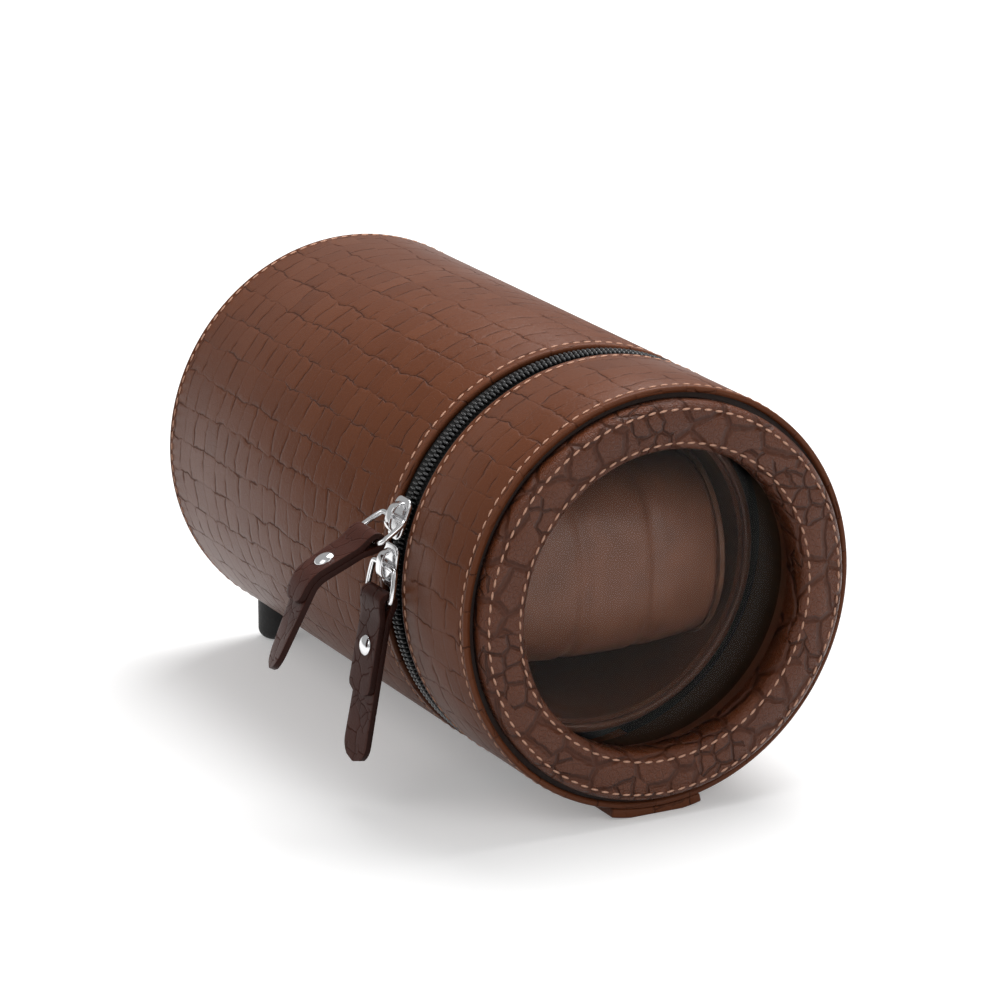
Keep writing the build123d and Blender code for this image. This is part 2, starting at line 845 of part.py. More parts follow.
write(slider(upper_angle), "upper_slider")
write(slider(lower_angle), "lower_slider")


def pivot(angle):
    """Centre of the ring's bar in the slider's bridge, as x and z."""
    a = radians(angle)
    return -pivot_radius * sin(a), axis_height - pivot_radius * cos(a)


def heading(tilt):
    """Direction tilted outwards from straight down, as x and z."""
    return -sin(radians(tilt)), -cos(radians(tilt))


def wire_ring(angle, tilt):
    """Rounded wire ring from the bridge to the pull's fold."""
    x, z = pivot(angle)
    dx, dz = heading(tilt)
    middle = (x + dx * ring_length / 2, rest_station - zip_station, z + dz * ring_length / 2)
    plane = Plane(origin=middle, x_dir=(0, 1, 0), z_dir=(dz, 0, -dx))
    width = ring_inner_width + 2 * ring_wire
    with BuildSketch(plane) as outline:
        RectangleRounded(width, ring_length, 2 * ring_wire)
    loop = outline.sketch.face().outer_wire()
    with BuildPart() as piece:
        with BuildSketch(Plane(origin=loop @ 0, z_dir=loop % 0)):
            Circle(ring_wire)
        sweep(path=loop)
    return piece


write(wire_ring(upper_angle, upper_ring_tilt), "upper_ring")
write(wire_ring(lower_angle, lower_ring_tilt), "lower_ring")
fold_inner = ring_wire + pull_fold_gap
fold_outer = fold_inner + pull_leather


def fold_plane(angle, ring_tilt, pull_tilt):
    """Plane across the pull's fold, its x along the leather and its y towards the case."""
    x, z = pivot(angle)
    dx, dz = heading(ring_tilt)
    fold = (x + dx * ring_length, rest_station - zip_station, z + dz * ring_length)
    fx, fz = heading(pull_tilt)
    return Plane(origin=fold, x_dir=(fx, 0, fz), z_dir=(0, -1, 0))


def pull(plane, bend, bend_at):
    """Leather strip folded round the ring's far bar, its short layer on the outside."""
    turn = radians(bend)
    with BuildPart() as piece:
        with BuildSketch(plane):
            Circle(fold_outer)
            for length, shift in ((pull_length, pull_leather / 2), (pull_lap, -pull_leather / 2)):
                first = min(bend_at, length)
                rest = length - first
                corner = first - shift * tan(turn / 2)
                tip = (corner + rest * cos(turn), shift + rest * sin(turn))
                with BuildLine():
                    if rest > 0:
                        bends = [(fold_inner, shift), (corner, shift), tip]
                        strip = FilletPolyline(*bends, radius=pull_bend_radius - shift)
                    else:
                        strip = Line((fold_inner, shift), (first, shift))
                trace(lines=strip.edges(), line_width=pull_leather)
            Circle(fold_inner, mode=Mode.SUBTRACT)
        extrude(amount=pull_width / 2, both=True)
        for radius in (flap_corner, tip_corner):
            ends = piece.edges().filter_by(lambda e: abs(e.length - pull_leather) < glue_line)
            ends = ends.sort_by_distance(plane.origin)
            fillet(ends[:2] if radius == flap_corner else ends[-2:], radius)
        with BuildSketch(rivet_seat(plane, -pull_leather)):
            Circle(rivet_stem + running_clearance)
        extrude(amount=2 * pull_leather, mode=Mode.SUBTRACT)
    return piece


def rivet_seat(plane, height):
    """Plane square to the leather at the rivet, at a height towards the case."""
    origin = plane.from_local_coords((rivet_distance, height, 0))
    return Plane(origin=origin, x_dir=plane.x_dir, z_dir=plane.y_dir)


def rivet(plane):
    """Domed rivet through both layers, with a flat head behind."""
    with BuildPart() as piece:
        with BuildSketch(rivet_seat(plane, -pull_leather - rivet_dome)):
            Circle(rivet_radius)
        extrude(amount=rivet_dome)
        rim = piece.edges().filter_by(GeomType.CIRCLE).sort_by_distance(plane.origin)
        outer = rim.filter_by(lambda e: plane.to_local_coords(e.center()).Y < -pull_leather - glue_line)
        fillet(outer, rivet_soft)
        with BuildSketch(rivet_seat(plane, -pull_leather)):
            Circle(rivet_stem)
        extrude(amount=2 * pull_leather)
        with BuildSketch(rivet_seat(plane, pull_leather)):
            Circle(rivet_radius)
        extrude(amount=rivet_dome / 2)
    return piece


upper_fold = fold_plane(upper_angle, upper_ring_tilt, upper_pull_tilt)
lower_fold = fold_plane(lower_angle, lower_ring_tilt, lower_ring_tilt)
write(pull(upper_fold, upper_pull_tilt - upper_pull_drop, upper_bend_at), "upper_pull")
write(pull(lower_fold, 0, pull_length), "lower_pull")
write(rivet(upper_fold), "upper_rivet")
write(rivet(lower_fold), "lower_rivet")
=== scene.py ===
import bpy
import bmesh
from math import atan2, cos, degrees, hypot, pi, radians, sin, sqrt
from mathutils import Matrix, Vector


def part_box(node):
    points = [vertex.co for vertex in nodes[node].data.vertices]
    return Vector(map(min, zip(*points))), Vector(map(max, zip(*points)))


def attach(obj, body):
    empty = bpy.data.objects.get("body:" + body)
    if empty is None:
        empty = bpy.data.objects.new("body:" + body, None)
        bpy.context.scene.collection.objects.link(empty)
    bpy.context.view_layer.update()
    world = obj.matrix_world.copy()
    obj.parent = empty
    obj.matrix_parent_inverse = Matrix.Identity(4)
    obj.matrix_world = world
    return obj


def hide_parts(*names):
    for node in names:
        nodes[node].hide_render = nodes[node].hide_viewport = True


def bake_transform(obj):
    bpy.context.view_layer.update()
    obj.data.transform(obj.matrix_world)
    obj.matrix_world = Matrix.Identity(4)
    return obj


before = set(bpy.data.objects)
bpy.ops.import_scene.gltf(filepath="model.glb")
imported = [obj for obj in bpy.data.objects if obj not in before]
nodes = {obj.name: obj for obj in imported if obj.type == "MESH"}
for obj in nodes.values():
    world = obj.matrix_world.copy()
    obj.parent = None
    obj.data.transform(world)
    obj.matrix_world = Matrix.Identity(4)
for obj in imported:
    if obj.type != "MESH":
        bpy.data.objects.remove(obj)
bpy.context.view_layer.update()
print("frame loaded,", len(nodes), "nodes")

# Where the case is, read from the frame. Stations are in mm from the rear face, radii from the axis.
mm = 0.001
leatherLow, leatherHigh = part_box("body_leather")
axisZ = (leatherLow.z + leatherHigh.z) / 2
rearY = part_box("rear_leather")[1].y
caseRadius = (leatherHigh.z - leatherLow.z) / 2 / mm
frontStation = (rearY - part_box("front_ring")[0].y) / mm
bodyEdge = (rearY - leatherLow.y) / mm
lidEdge = (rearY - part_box("lid_leather")[1].y) / mm
lidFront = (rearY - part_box("lid_leather")[0].y) / mm
zipStation = (bodyEdge + lidEdge) / 2


def polar(angle, radius, station):
    # the angle runs from the bottom of the case towards the side with the zip pulls
    a = radians(angle)
    return Vector((-radius * sin(a) * mm, rearY - station * mm, axisZ - radius * cos(a) * mm))


# Shared effects, each a node group
def newGroup(name, inputs, outputs):
    group = bpy.data.node_groups.new(name, "ShaderNodeTree")
    for label, kind, value in inputs:
        socket = group.interface.new_socket(label, in_out="INPUT", socket_type=kind)
        if value is not None:
            socket.default_value = value
    for label, kind in outputs:
        group.interface.new_socket(label, in_out="OUTPUT", socket_type=kind)
    return group, group.nodes.new("NodeGroupInput"), group.nodes.new("NodeGroupOutput")


def addNode(tree, kind, **settings):
    node = tree.nodes.new(kind)
    for key, value in settings.items():
        setattr(node, key, value)
    return node


def math(tree, operation, a, b=None, clamp=False):
    node = addNode(tree, "ShaderNodeMath", operation=operation, use_clamp=clamp)
    for index, value in enumerate((a, b)):
        if isinstance(value, (int, float)):
            node.inputs[index].default_value = value
        elif value is not None:
            tree.links.new(value, node.inputs[index])
    return node.outputs[0]


def mapRange(tree, value, low, high, toLow=0.0, toHigh=1.0, smooth=False):
    node = addNode(tree, "ShaderNodeMapRange")
    node.interpolation_type = "SMOOTHSTEP" if smooth else "LINEAR"
    tree.links.new(value, node.inputs["Value"])
    for label, bound in (("From Min", low), ("From Max", high), ("To Min", toLow), ("To Max", toHigh)):
        if isinstance(bound, (int, float)):
            node.inputs[label].default_value = bound
        else:
            tree.links.new(bound, node.inputs[label])
    return node.outputs["Result"]


def warped(group, start, moved, noiseLook, amount):
    # moved shifted by a noise read at start
    noise = addNode(group, "ShaderNodeTexNoise", noise_dimensions=noiseLook["kind"])
    group.links.new(start, noise.inputs["Vector"])
    noise.inputs["Scale"].default_value = noiseLook["wave"]
    noise.inputs["Detail"].default_value = noiseLook["detail"]
    centred = addNode(group, "ShaderNodeVectorMath", operation="SUBTRACT")
    group.links.new(noise.outputs["Color"], centred.inputs[0])
    centred.inputs[1].default_value = (0.5, 0.5, 0.5)
    scaled = addNode(group, "ShaderNodeVectorMath", operation="SCALE")
    group.links.new(centred.outputs[0], scaled.inputs[0])
    group.links.new(amount, scaled.inputs["Scale"])
    added = addNode(group, "ShaderNodeVectorMath", operation="ADD")
    group.links.new(moved, added.inputs[0])
    group.links.new(scaled.outputs[0], added.inputs[1])
    return added.outputs[0]


def makeCrocScales():
    # embossed scales: pillowy cells with creases between, wrinkles and fine grain on them; the dark in the
    # creases is painted shade, mixed in by the material
    inputs = [("Vector", "NodeSocketVector", None), ("Scale", "NodeSocketFloat", 1.1),
              ("Randomness", "NodeSocketFloat", 0.6), ("Crease", "NodeSocketFloat", 0.09),
              ("Warp", "NodeSocketFloat", 0.15), ("Wrinkle", "NodeSocketFloat", 0.3)]
    outputs = [("Height", "NodeSocketFloat"), ("Crease", "NodeSocketFloat"), ("Tint", "NodeSocketFloat")]
    group, entry, leave = newGroup("crocScales", inputs, outputs)
    link = group.links.new
    start = entry.outputs["Vector"]
    moved = warped(group, start, start, {"wave": 1.7, "detail": 2.0, "kind": "3D"}, entry.outputs["Warp"])
    cells = []
    for feature, share in (("DISTANCE_TO_EDGE", 1.0), ("DISTANCE_TO_EDGE", 1.8), ("F1", 1.0), ("F1", 1.8)):
        cell = addNode(group, "ShaderNodeTexVoronoi", feature=feature, voronoi_dimensions="2D")
        link(moved, cell.inputs["Vector"])
        link(math(group, "MULTIPLY", entry.outputs["Scale"], share), cell.inputs["Scale"])
        link(entry.outputs["Randomness"], cell.inputs["Randomness"])
        cells.append(cell)
    patch = addNode(group, "ShaderNodeTexNoise", noise_dimensions="2D")
    link(entry.outputs["Vector"], patch.inputs["Vector"])
    link(math(group, "MULTIPLY", entry.outputs["Scale"], 0.55), patch.inputs["Scale"])
    patch.inputs["Detail"].default_value = 0.0
    clustered = mapRange(group, patch.outputs["Fac"], 0.58, 0.584, smooth=True)
    large = math(group, "ADD", cells[0].outputs["Distance"], math(group, "MULTIPLY", clustered, 9.0))
    small = math(group, "ADD", cells[1].outputs["Distance"],
                 math(group, "MULTIPLY", math(group, "SUBTRACT", 1.0, clustered), 9.0))
    edge = math(group, "MINIMUM", large, small)
    far = math(group, "ADD", math(group, "MULTIPLY", cells[3].outputs["Distance"], clustered),
               math(group, "MULTIPLY", cells[2].outputs["Distance"], math(group, "SUBTRACT", 1.0, clustered)))
    dome = math(group, "SUBTRACT", 1.0, math(group, "MULTIPLY", far, far))
    groove = mapRange(group, edge, 0.0, entry.outputs["Crease"], smooth=True)
    wrinkles = addNode(group, "ShaderNodeTexVoronoi", feature="DISTANCE_TO_EDGE", voronoi_dimensions="2D")
    link(moved, wrinkles.inputs["Vector"])
    wrinkles.inputs["Scale"].default_value = 6.5
    fold = mapRange(group, wrinkles.outputs["Distance"], 0.0, 0.16, smooth=True)
    grain = addNode(group, "ShaderNodeTexNoise", noise_dimensions="2D")
    link(entry.outputs["Vector"], grain.inputs["Vector"])
    grain.inputs["Scale"].default_value = 28.0
    grain.inputs["Detail"].default_value = 4.0
    fine = math(group, "MULTIPLY", grain.outputs["Fac"], 0.14)
    wrinkled = math(group, "MULTIPLY", math(group, "MULTIPLY", fold, entry.outputs["Wrinkle"]), groove)
    shape = math(group, "ADD", math(group, "MULTIPLY", groove, 0.5), math(group, "MULTIPLY", dome, 0.8))
    height = math(group, "ADD", math(group, "ADD", shape, math(group, "MULTIPLY", wrinkled, 0.25)), fine)
    link(height, leave.inputs["Height"])
    link(math(group, "SUBTRACT", 1.0, groove, clamp=True), leave.inputs["Crease"])
    tint = addNode(group, "ShaderNodeSeparateColor")
    link(cells[2].outputs["Color"], tint.inputs[0])
    link(tint.outputs[0], leave.inputs["Tint"])
    return group


def makeRowScales():
    # nearly square scales in staggered rows, with thin creases that come and go
    inputs = [("Vector", "NodeSocketVector", None), ("Row", "NodeSocketFloat", 0.9),
              ("Length", "NodeSocketFloat", 0.72), ("Crease", "NodeSocketFloat", 0.1),
              ("Warp", "NodeSocketFloat", 0.2)]
    outputs = [("Height", "NodeSocketFloat"), ("Crease", "NodeSocketFloat"), ("Tint", "NodeSocketFloat")]
    group, entry, leave = newGroup("rowScales", inputs, outputs)
    link = group.links.new
    moved = entry.outputs["Vector"]
    for wave, share in ((0.9, 1.3), (3.2, 0.5)):
        amount = math(group, "MULTIPLY", entry.outputs["Warp"], share)
        noiseLook = {"wave": wave, "detail": 1.0, "kind": "2D"}
        moved = warped(group, entry.outputs["Vector"], moved, noiseLook, amount)
    masks = []
    for share, smooth in ((1.0, 0.8), (4.0, 1.0)):
        brick = addNode(group, "ShaderNodeTexBrick", offset=0.42, offset_frequency=2, squash=1.12,
                        squash_frequency=3)
        link(moved, brick.inputs["Vector"])
        brick.inputs["Scale"].default_value = 1.0
        link(math(group, "MULTIPLY", entry.outputs["Crease"], share), brick.inputs["Mortar Size"])
        brick.inputs["Mortar Smooth"].default_value = smooth
        brick.inputs["Color1"].default_value = (0, 0, 0, 1)
        brick.inputs["Color2"].default_value = (1, 1, 1, 1)
        brick.inputs["Mortar"].default_value = (0.5, 0.5, 0.5, 1)
        link(entry.outputs["Length"], brick.inputs["Brick Width"])
        link(entry.outputs["Row"], brick.inputs["Row Height"])
        masks.append(brick)
    presence = addNode(group, "ShaderNodeTexNoise", noise_dimensions="2D")
    link(entry.outputs["Vector"], presence.inputs["Vector"])
    presence.inputs["Scale"].default_value = 1.4
    presence.inputs["Detail"].default_value = 3.0
    kept = mapRange(group, presence.outputs["Fac"], 0.38, 0.66, 0.15, 1.0, smooth=True)
    crease = math(group, "MULTIPLY", masks[0].outputs["Fac"], kept)
    pillow = math(group, "MULTIPLY", masks[1].outputs["Fac"], kept)
    veins = addNode(group, "ShaderNodeTexVoronoi", feature="DISTANCE_TO_EDGE", voronoi_dimensions="2D")
    link(moved, veins.inputs["Vector"])
    veins.inputs["Scale"].default_value = 4.2
    vein = mapRange(group, veins.outputs["Distance"], 0.0, 0.07, 1.0, 0.0, smooth=True)
    grain = addNode(group, "ShaderNodeTexNoise", noise_dimensions="2D")
    link(entry.outputs["Vector"], grain.inputs["Vector"])
    grain.inputs["Scale"].default_value = 26.0
    grain.inputs["Detail"].default_value = 4.0
    rise = math(group, "SUBTRACT", 1.0, math(group, "MULTIPLY", crease, 0.7))
    rise = math(group, "SUBTRACT", rise, math(group, "MULTIPLY", pillow, 0.35))
    rise = math(group, "SUBTRACT", rise, math(group, "MULTIPLY", vein, 0.07))
    fine = math(group, "MULTIPLY", grain.outputs["Fac"], 0.16)
    link(math(group, "ADD", rise, fine), leave.inputs["Height"])
    link(math(group, "MULTIPLY", crease, 1.0, clamp=True), leave.inputs["Crease"])
    tint = addNode(group, "ShaderNodeSeparateColor")
    link(masks[0].outputs["Color"], tint.inputs[0])
    link(tint.outputs[0], leave.inputs["Tint"])
    return group


def makeFineGrain():
    # leather pores or moulded texture: one height, one slow variation
    inputs = [("Vector", "NodeSocketVector", None), ("Scale", "NodeSocketFloat", 900.0)]
    outputs = [("Height", "NodeSocketFloat"), ("Drift", "NodeSocketFloat")]
    group, entry, leave = newGroup("fineGrain", inputs, outputs)
    link = group.links.new
    pores = addNode(group, "ShaderNodeTexVoronoi", feature="F1")
    link(entry.outputs["Vector"], pores.inputs["Vector"])
    link(entry.outputs["Scale"], pores.inputs["Scale"])
    cloud = addNode(group, "ShaderNodeTexNoise")
    link(entry.outputs["Vector"], cloud.inputs["Vector"])
    link(math(group, "MULTIPLY", entry.outputs["Scale"], 0.12), cloud.inputs["Scale"])
    cloud.inputs["Detail"].default_value = 5.0
    link(math(group, "ADD", pores.outputs["Distance"], cloud.outputs["Fac"]), leave.inputs["Height"])
    link(cloud.outputs["Fac"], leave.inputs["Drift"])
    return group


def makeWeave():
    # over and under threads of a woven tape or a lining
    inputs = [("Vector", "NodeSocketVector", None), ("Threads", "NodeSocketFloat", 2500.0)]
    group, entry, leave = newGroup("weave", inputs, [("Height", "NodeSocketFloat")])
    link = group.links.new
    waves = []
    for direction in ("X", "Y", "Z"):
        wave = addNode(group, "ShaderNodeTexWave", bands_direction=direction)
        link(entry.outputs["Vector"], wave.inputs["Vector"])
        link(entry.outputs["Threads"], wave.inputs["Scale"])
        wave.inputs["Distortion"].default_value = 0.6
        waves.append(wave.outputs["Fac"])
    crossed = math(group, "MULTIPLY", waves[0], waves[2])
    link(math(group, "MAXIMUM", crossed, waves[1]), leave.inputs["Height"])
    return group


crocScales = makeCrocScales()
rowScales = makeRowScales()
fineGrain = makeFineGrain()
weave = makeWeave()


def newMaterial(name):
    material = bpy.data.materials.new(name)
    material.use_nodes = True
    tree = material.node_tree
    return material, tree, tree.nodes["Principled BSDF"]


def placeGroup(tree, group, **values):
    node = tree.nodes.new("ShaderNodeGroup")
    node.node_tree = group
    for label, value in values.items():
        node.inputs[label].default_value = value
    return node


def mixColour(tree, factor, a, b):
    mix = addNode(tree, "ShaderNodeMix", data_type="RGBA")
    if isinstance(factor, float):
        mix.inputs[0].default_value = factor
    else:
        tree.links.new(factor, mix.inputs[0])
    for socket, value in ((mix.inputs[6], a), (mix.inputs[7], b)):
        if isinstance(value, tuple):
            socket.default_value = (*value, 1.0)
        else:
            tree.links.new(value, socket)
    return mix.outputs[2]


def addBump(tree, shader, height, distance, strength=1.0):
    bump = tree.nodes.new("ShaderNodeBump")
    bump.inputs["Distance"].default_value = distance
    bump.inputs["Strength"].default_value = strength
    tree.links.new(height, bump.inputs["Height"])
    tree.links.new(bump.outputs["Normal"], shader.inputs["Normal"])
    return bump


def crocLeather(name, look, source="UV", planar=None):
    material, tree, shader = newMaterial(name)
    link = tree.links.new
    coordinates = tree.nodes.new("ShaderNodeTexCoord")
    mapping = tree.nodes.new("ShaderNodeMapping")
    link(coordinates.outputs[source], mapping.inputs["Vector"])
    mapping.inputs["Scale"].default_value = look["stretch"]
    if planar:
        mapping.inputs["Rotation"].default_value = planar
    if "row" in look:
        mapping.inputs["Rotation"].default_value = (0, 0, pi / 2)
        scales = placeGroup(tree, rowScales, Row=look["row"], Length=look["length"],
                            Crease=look["crease"], Warp=look["warp"])
    else:
        scales = placeGroup(tree, crocScales, Scale=look["scale"], Randomness=look["randomness"],
                            Crease=look["crease"], Warp=look["warp"], Wrinkle=look["wrinkle"])
    link(mapping.outputs["Vector"], scales.inputs["Vector"])
    tinted = mixColour(tree, scales.outputs["Tint"], look["dark"], look["light"])
    drift = tree.nodes.new("ShaderNodeTexNoise")
    link(mapping.outputs["Vector"], drift.inputs["Vector"])
    drift.inputs["Scale"].default_value = 0.5
    drift.inputs["Detail"].default_value = 3.0
    washed = mixColour(tree, mapRange(tree, drift.outputs["Fac"], 0.35, 0.7), tinted, look["wash"])
    # the crease colour darkens the grooves between scales: painted shade in the creases, mixed into the base
    # colour
    creaseShaded = mixColour(tree, math(tree, "MULTIPLY", scales.outputs["Crease"], look["creaseShadeDepth"]),
                        washed, look["creaseShadeColour"])
    link(creaseShaded, shader.inputs["Base Color"])
    rough = mapRange(tree, scales.outputs["Crease"], 0.0, 1.0, look["rough"], look["rough"] + 0.25)
    speckle = math(tree, "MULTIPLY", drift.outputs["Fac"], 0.12)
    link(math(tree, "ADD", rough, speckle), shader.inputs["Roughness"])
    shader.inputs["Specular IOR Level"].default_value = look["specular"]
    shader.inputs["Coat Roughness"].default_value = 0.25
    shader.inputs["Coat Weight"].default_value = look["coat"]
    addBump(tree, shader, scales.outputs["Height"], look["depth"])
    return material


def grainy(name, dark, light, rough, scale=900.0, depth=0.00006, metallic=0.0, coat=0.0, specular=0.5):
    material, tree, shader = newMaterial(name)
    link = tree.links.new
    coordinates = tree.nodes.new("ShaderNodeTexCoord")
    grain = placeGroup(tree, fineGrain, Scale=scale)
    link(coordinates.outputs["Object"], grain.inputs["Vector"])
    drift = mapRange(tree, grain.outputs["Drift"], 0.3, 0.7)
    link(mixColour(tree, drift, dark, light), shader.inputs["Base Color"])
    link(mapRange(tree, drift, 0.0, 1.0, rough - 0.06, rough + 0.08), shader.inputs["Roughness"])
    shader.inputs["Metallic"].default_value = metallic
    shader.inputs["Coat Weight"].default_value = coat
    shader.inputs["Specular IOR Level"].default_value = specular
    addBump(tree, shader, grain.outputs["Height"], depth)
    return material


def woven(name, dark, light, threads, rough=0.85):
    material, tree, shader = newMaterial(name)
    link = tree.links.new
    coordinates = tree.nodes.new("ShaderNodeTexCoord")
    cloth = placeGroup(tree, weave, Threads=threads)
    link(coordinates.outputs["Object"], cloth.inputs["Vector"])
    link(mixColour(tree, cloth.outputs["Height"], dark, light), shader.inputs["Base Color"])
    shader.inputs["Roughness"].default_value = rough
    shader.inputs["Specular IOR Level"].default_value = 0.2
    addBump(tree, shader, cloth.outputs["Height"], 0.00005)
    return material


def polished(name, colour, rough, scale=250.0):
    # plated metal with faint rubbing marks
    material, tree, shader = newMaterial(name)
    link = tree.links.new
    coordinates = tree.nodes.new("ShaderNodeTexCoord")
    grain = placeGroup(tree, fineGrain, Scale=scale)
    link(coordinates.outputs["Object"], grain.inputs["Vector"])
    shader.inputs["Metallic"].default_value = 1.0
    worn = tuple(c * 0.82 for c in colour)
    link(mixColour(tree, mapRange(tree, grain.outputs["Drift"], 0.35, 0.75), colour, worn),
         shader.inputs["Base Color"])
    link(mapRange(tree, grain.outputs["Drift"], 0.3, 0.8, rough, rough + 0.14), shader.inputs["Roughness"])
    addBump(tree, shader, grain.outputs["Height"], 0.00001)
    return material


# the crease colour and its depth in these looks set the painted shade in the creases between scales
bodyLook = {"row": 0.92, "length": 0.68, "crease": 0.035, "warp": 0.22, "stretch": (1.0, 1.0, 1.0),
            "dark": (0.12, 0.035, 0.013), "light": (0.155, 0.049, 0.020), "wash": (0.14, 0.042, 0.016),
            "creaseShadeColour": (0.045, 0.014, 0.008), "creaseShadeDepth": 0.6,
            "rough": 0.34, "specular": 0.14, "coat": 0.03, "depth": 0.0004}
ringLook = {"scale": 1.1, "randomness": 0.85, "crease": 0.14, "warp": 0.3, "wrinkle": 0.3,
            "stretch": (1.0, 1.0, 1.0), "dark": (0.115, 0.030, 0.010), "light": (0.16, 0.046, 0.017),
            "wash": (0.135, 0.037, 0.013), "creaseShadeColour": (0.03, 0.008, 0.004), "creaseShadeDepth": 0.4,
            "rough": 0.22, "specular": 0.3, "coat": 0.06, "depth": 0.0017}
pullLook = dict(ringLook, scale=1.7, crease=0.06, depth=0.0002, wrinkle=0.3, coat=0.0, rough=0.4,
                specular=0.12, dark=(0.048, 0.013, 0.008), light=(0.066, 0.018, 0.011),
                wash=(0.057, 0.0155, 0.0095))
rearLook = dict(ringLook, scale=100.0, coat=0.05, rough=0.36, depth=0.0005)
bodyLeather = crocLeather("bodyLeather", bodyLook)
ringLeather = crocLeather("ringLeather", ringLook)
pullLeather = crocLeather("pullLeather", pullLook)
rearLeather = crocLeather("rearLeather", rearLook, "Object", planar=(radians(90), 0, 0))
strapLeather = grainy("strapLeather", (0.09, 0.036, 0.02), (0.15, 0.066, 0.036), 0.42, 1400.0, 0.00008)
edgePaint = grainy("edgePaint", (0.022, 0.007, 0.005), (0.034, 0.011, 0.008), 0.5, 2000.0,
                   specular=0.12)
cushionLeather = grainy("cushionLeather", (0.115, 0.044, 0.024), (0.155, 0.062, 0.035), 0.45, 900.0,
                        0.000005, specular=0.35)
cupLeather = grainy("cupLeather", (0.075, 0.026, 0.013), (0.105, 0.039, 0.02), 0.4, 900.0, 0.000005,
                    specular=0.35)
liningCloth = woven("liningCloth", (0.024, 0.011, 0.006), (0.055, 0.024, 0.012), 900.0)
threadLook = woven("thread", (0.55, 0.29, 0.19), (0.78, 0.46, 0.33), 2200.0, 0.65)
tapeCloth = woven("tapeCloth", (0.006, 0.006, 0.006), (0.03, 0.03, 0.03), 1500.0)
coilNylon = grainy("coilNylon", (0.008, 0.008, 0.008), (0.03, 0.03, 0.032), 0.3, 1500.0, 0.00002, coat=0.2)
chrome = polished("chrome", (0.86, 0.86, 0.87), 0.08)
brightSteel = polished("brightSteel", (0.62, 0.62, 0.62), 0.28, 900.0)
contactMetal = polished("contactMetal", (0.72, 0.70, 0.64), 0.25, 700.0)
brass = polished("brass", (0.68, 0.48, 0.22), 0.35, 700.0)
footRubber = grainy("footRubber", (0.008, 0.008, 0.008), (0.022, 0.022, 0.022), 0.62, 1500.0, 0.00008)
blackPlastic = grainy("blackPlastic", (0.012, 0.011, 0.011), (0.03, 0.028, 0.027), 0.5, 1800.0, 0.00005)
doorPlastic = grainy("doorPlastic", (0.03, 0.02, 0.016), (0.055, 0.036, 0.028), 0.48, 1600.0, 0.00006)
pressedBoard = grainy("pressedBoard", (0.16, 0.10, 0.06), (0.27, 0.18, 0.11), 0.8, 600.0, 0.0001)
# the lid board: the pressed board's grain again, darkened to near black as painted shade for the board inside
# the lid
shadedLidBoard = grainy("shadedLidBoard", (0.018, 0.008, 0.005), (0.032, 0.014, 0.009), 0.7, 600.0, 0.0001)
nylon = grainy("nylon", (0.62, 0.60, 0.55), (0.74, 0.72, 0.67), 0.45, 900.0, 0.00003)
coatedSteel = grainy("coatedSteel", (0.045, 0.047, 0.05), (0.085, 0.088, 0.092), 0.5, 1500.0, 0.00005)
solderMask = grainy("solderMask", (0.008, 0.075, 0.03), (0.014, 0.13, 0.055), 0.3, 700.0, 0.00002, coat=0.3)
cellJacket = grainy("cellJacket", (0.10, 0.11, 0.12), (0.20, 0.21, 0.22), 0.3, 500.0, 0.00002, metallic=0.6)


def clearPane():
    material, tree, shader = newMaterial("clearPane")
    link = tree.links.new
    coordinates = tree.nodes.new("ShaderNodeTexCoord")
    grain = placeGroup(tree, fineGrain, Scale=120.0)
    link(coordinates.outputs["Object"], grain.inputs["Vector"])
    shader.inputs["Base Color"].default_value = (0.98, 0.975, 0.965, 1.0)
    shader.inputs["Transmission Weight"].default_value = 1.0
    shader.inputs["IOR"].default_value = 1.13
    link(mapRange(tree, grain.outputs["Drift"], 0.2, 0.9, 0.0, 0.002), shader.inputs["Roughness"])
    return material


finishes = {
    "body_shell": blackPlastic, "lid_shell": blackPlastic, "gearbox": blackPlastic,
    "mode_lever": blackPlastic, "mode_switch": blackPlastic, "battery_tray": blackPlastic,
    "battery_door": doorPlastic,
    "board_chips": blackPlastic, "body_lining": liningCloth, "lid_lining": liningCloth,
    "cup_lining": cupLeather, "rear_leather": rearLeather, "rear_board": pressedBoard,
    "lid_board": shadedLidBoard, "battery_cell_left": cellJacket, "battery_cell_right": cellJacket,
    "tray_contact": contactMetal, "door_contact": contactMetal, "foot_left": footRubber,
    "foot_right": footRubber, "drive_plate": coatedSteel, "bulkhead": coatedSteel,
    "frame_posts": brightSteel, "frame_screws": brightSteel, "rear_bush": brass, "front_bush": brass,
    "motor_can": brightSteel, "rotor_shaft": brightSteel, "rotor_pulley": nylon, "motor_pulley": nylon,
    "board_pins": nylon, "drive_belt": footRubber, "control_board": solderMask, "rotor_hub": cupLeather,
    "rotor_cup": cupLeather, "cheek_left": cupLeather, "cheek_right": cupLeather,
    "pane_retainer": cupLeather, "window_pane": clearPane(), "zip_tape_body": tapeCloth,
    "zip_tape_lid": tapeCloth, "cushion_cap_left": strapLeather, "cushion_cap_right": strapLeather,
}
for nodeName, finish in finishes.items():
    mesh = nodes[nodeName].data
    mesh.materials.clear()
    mesh.materials.append(finish)
print("materials ready")


# Mesh helpers
def addPiece(name, bm, body, material, replacing=(), smooth=True):
    mesh = bpy.data.meshes.new(name)
    bm.to_mesh(mesh)
    bm.free()
    piece = bpy.data.objects.new(name, mesh)
    bpy.context.scene.collection.objects.link(piece)
    for one in material if isinstance(material, (list, tuple)) else (material,):
        mesh.materials.append(one)
    if smooth:
        mesh.shade_smooth()
    if body:
        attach(piece, body)
    if replacing:
        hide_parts(*replacing)
    return piece


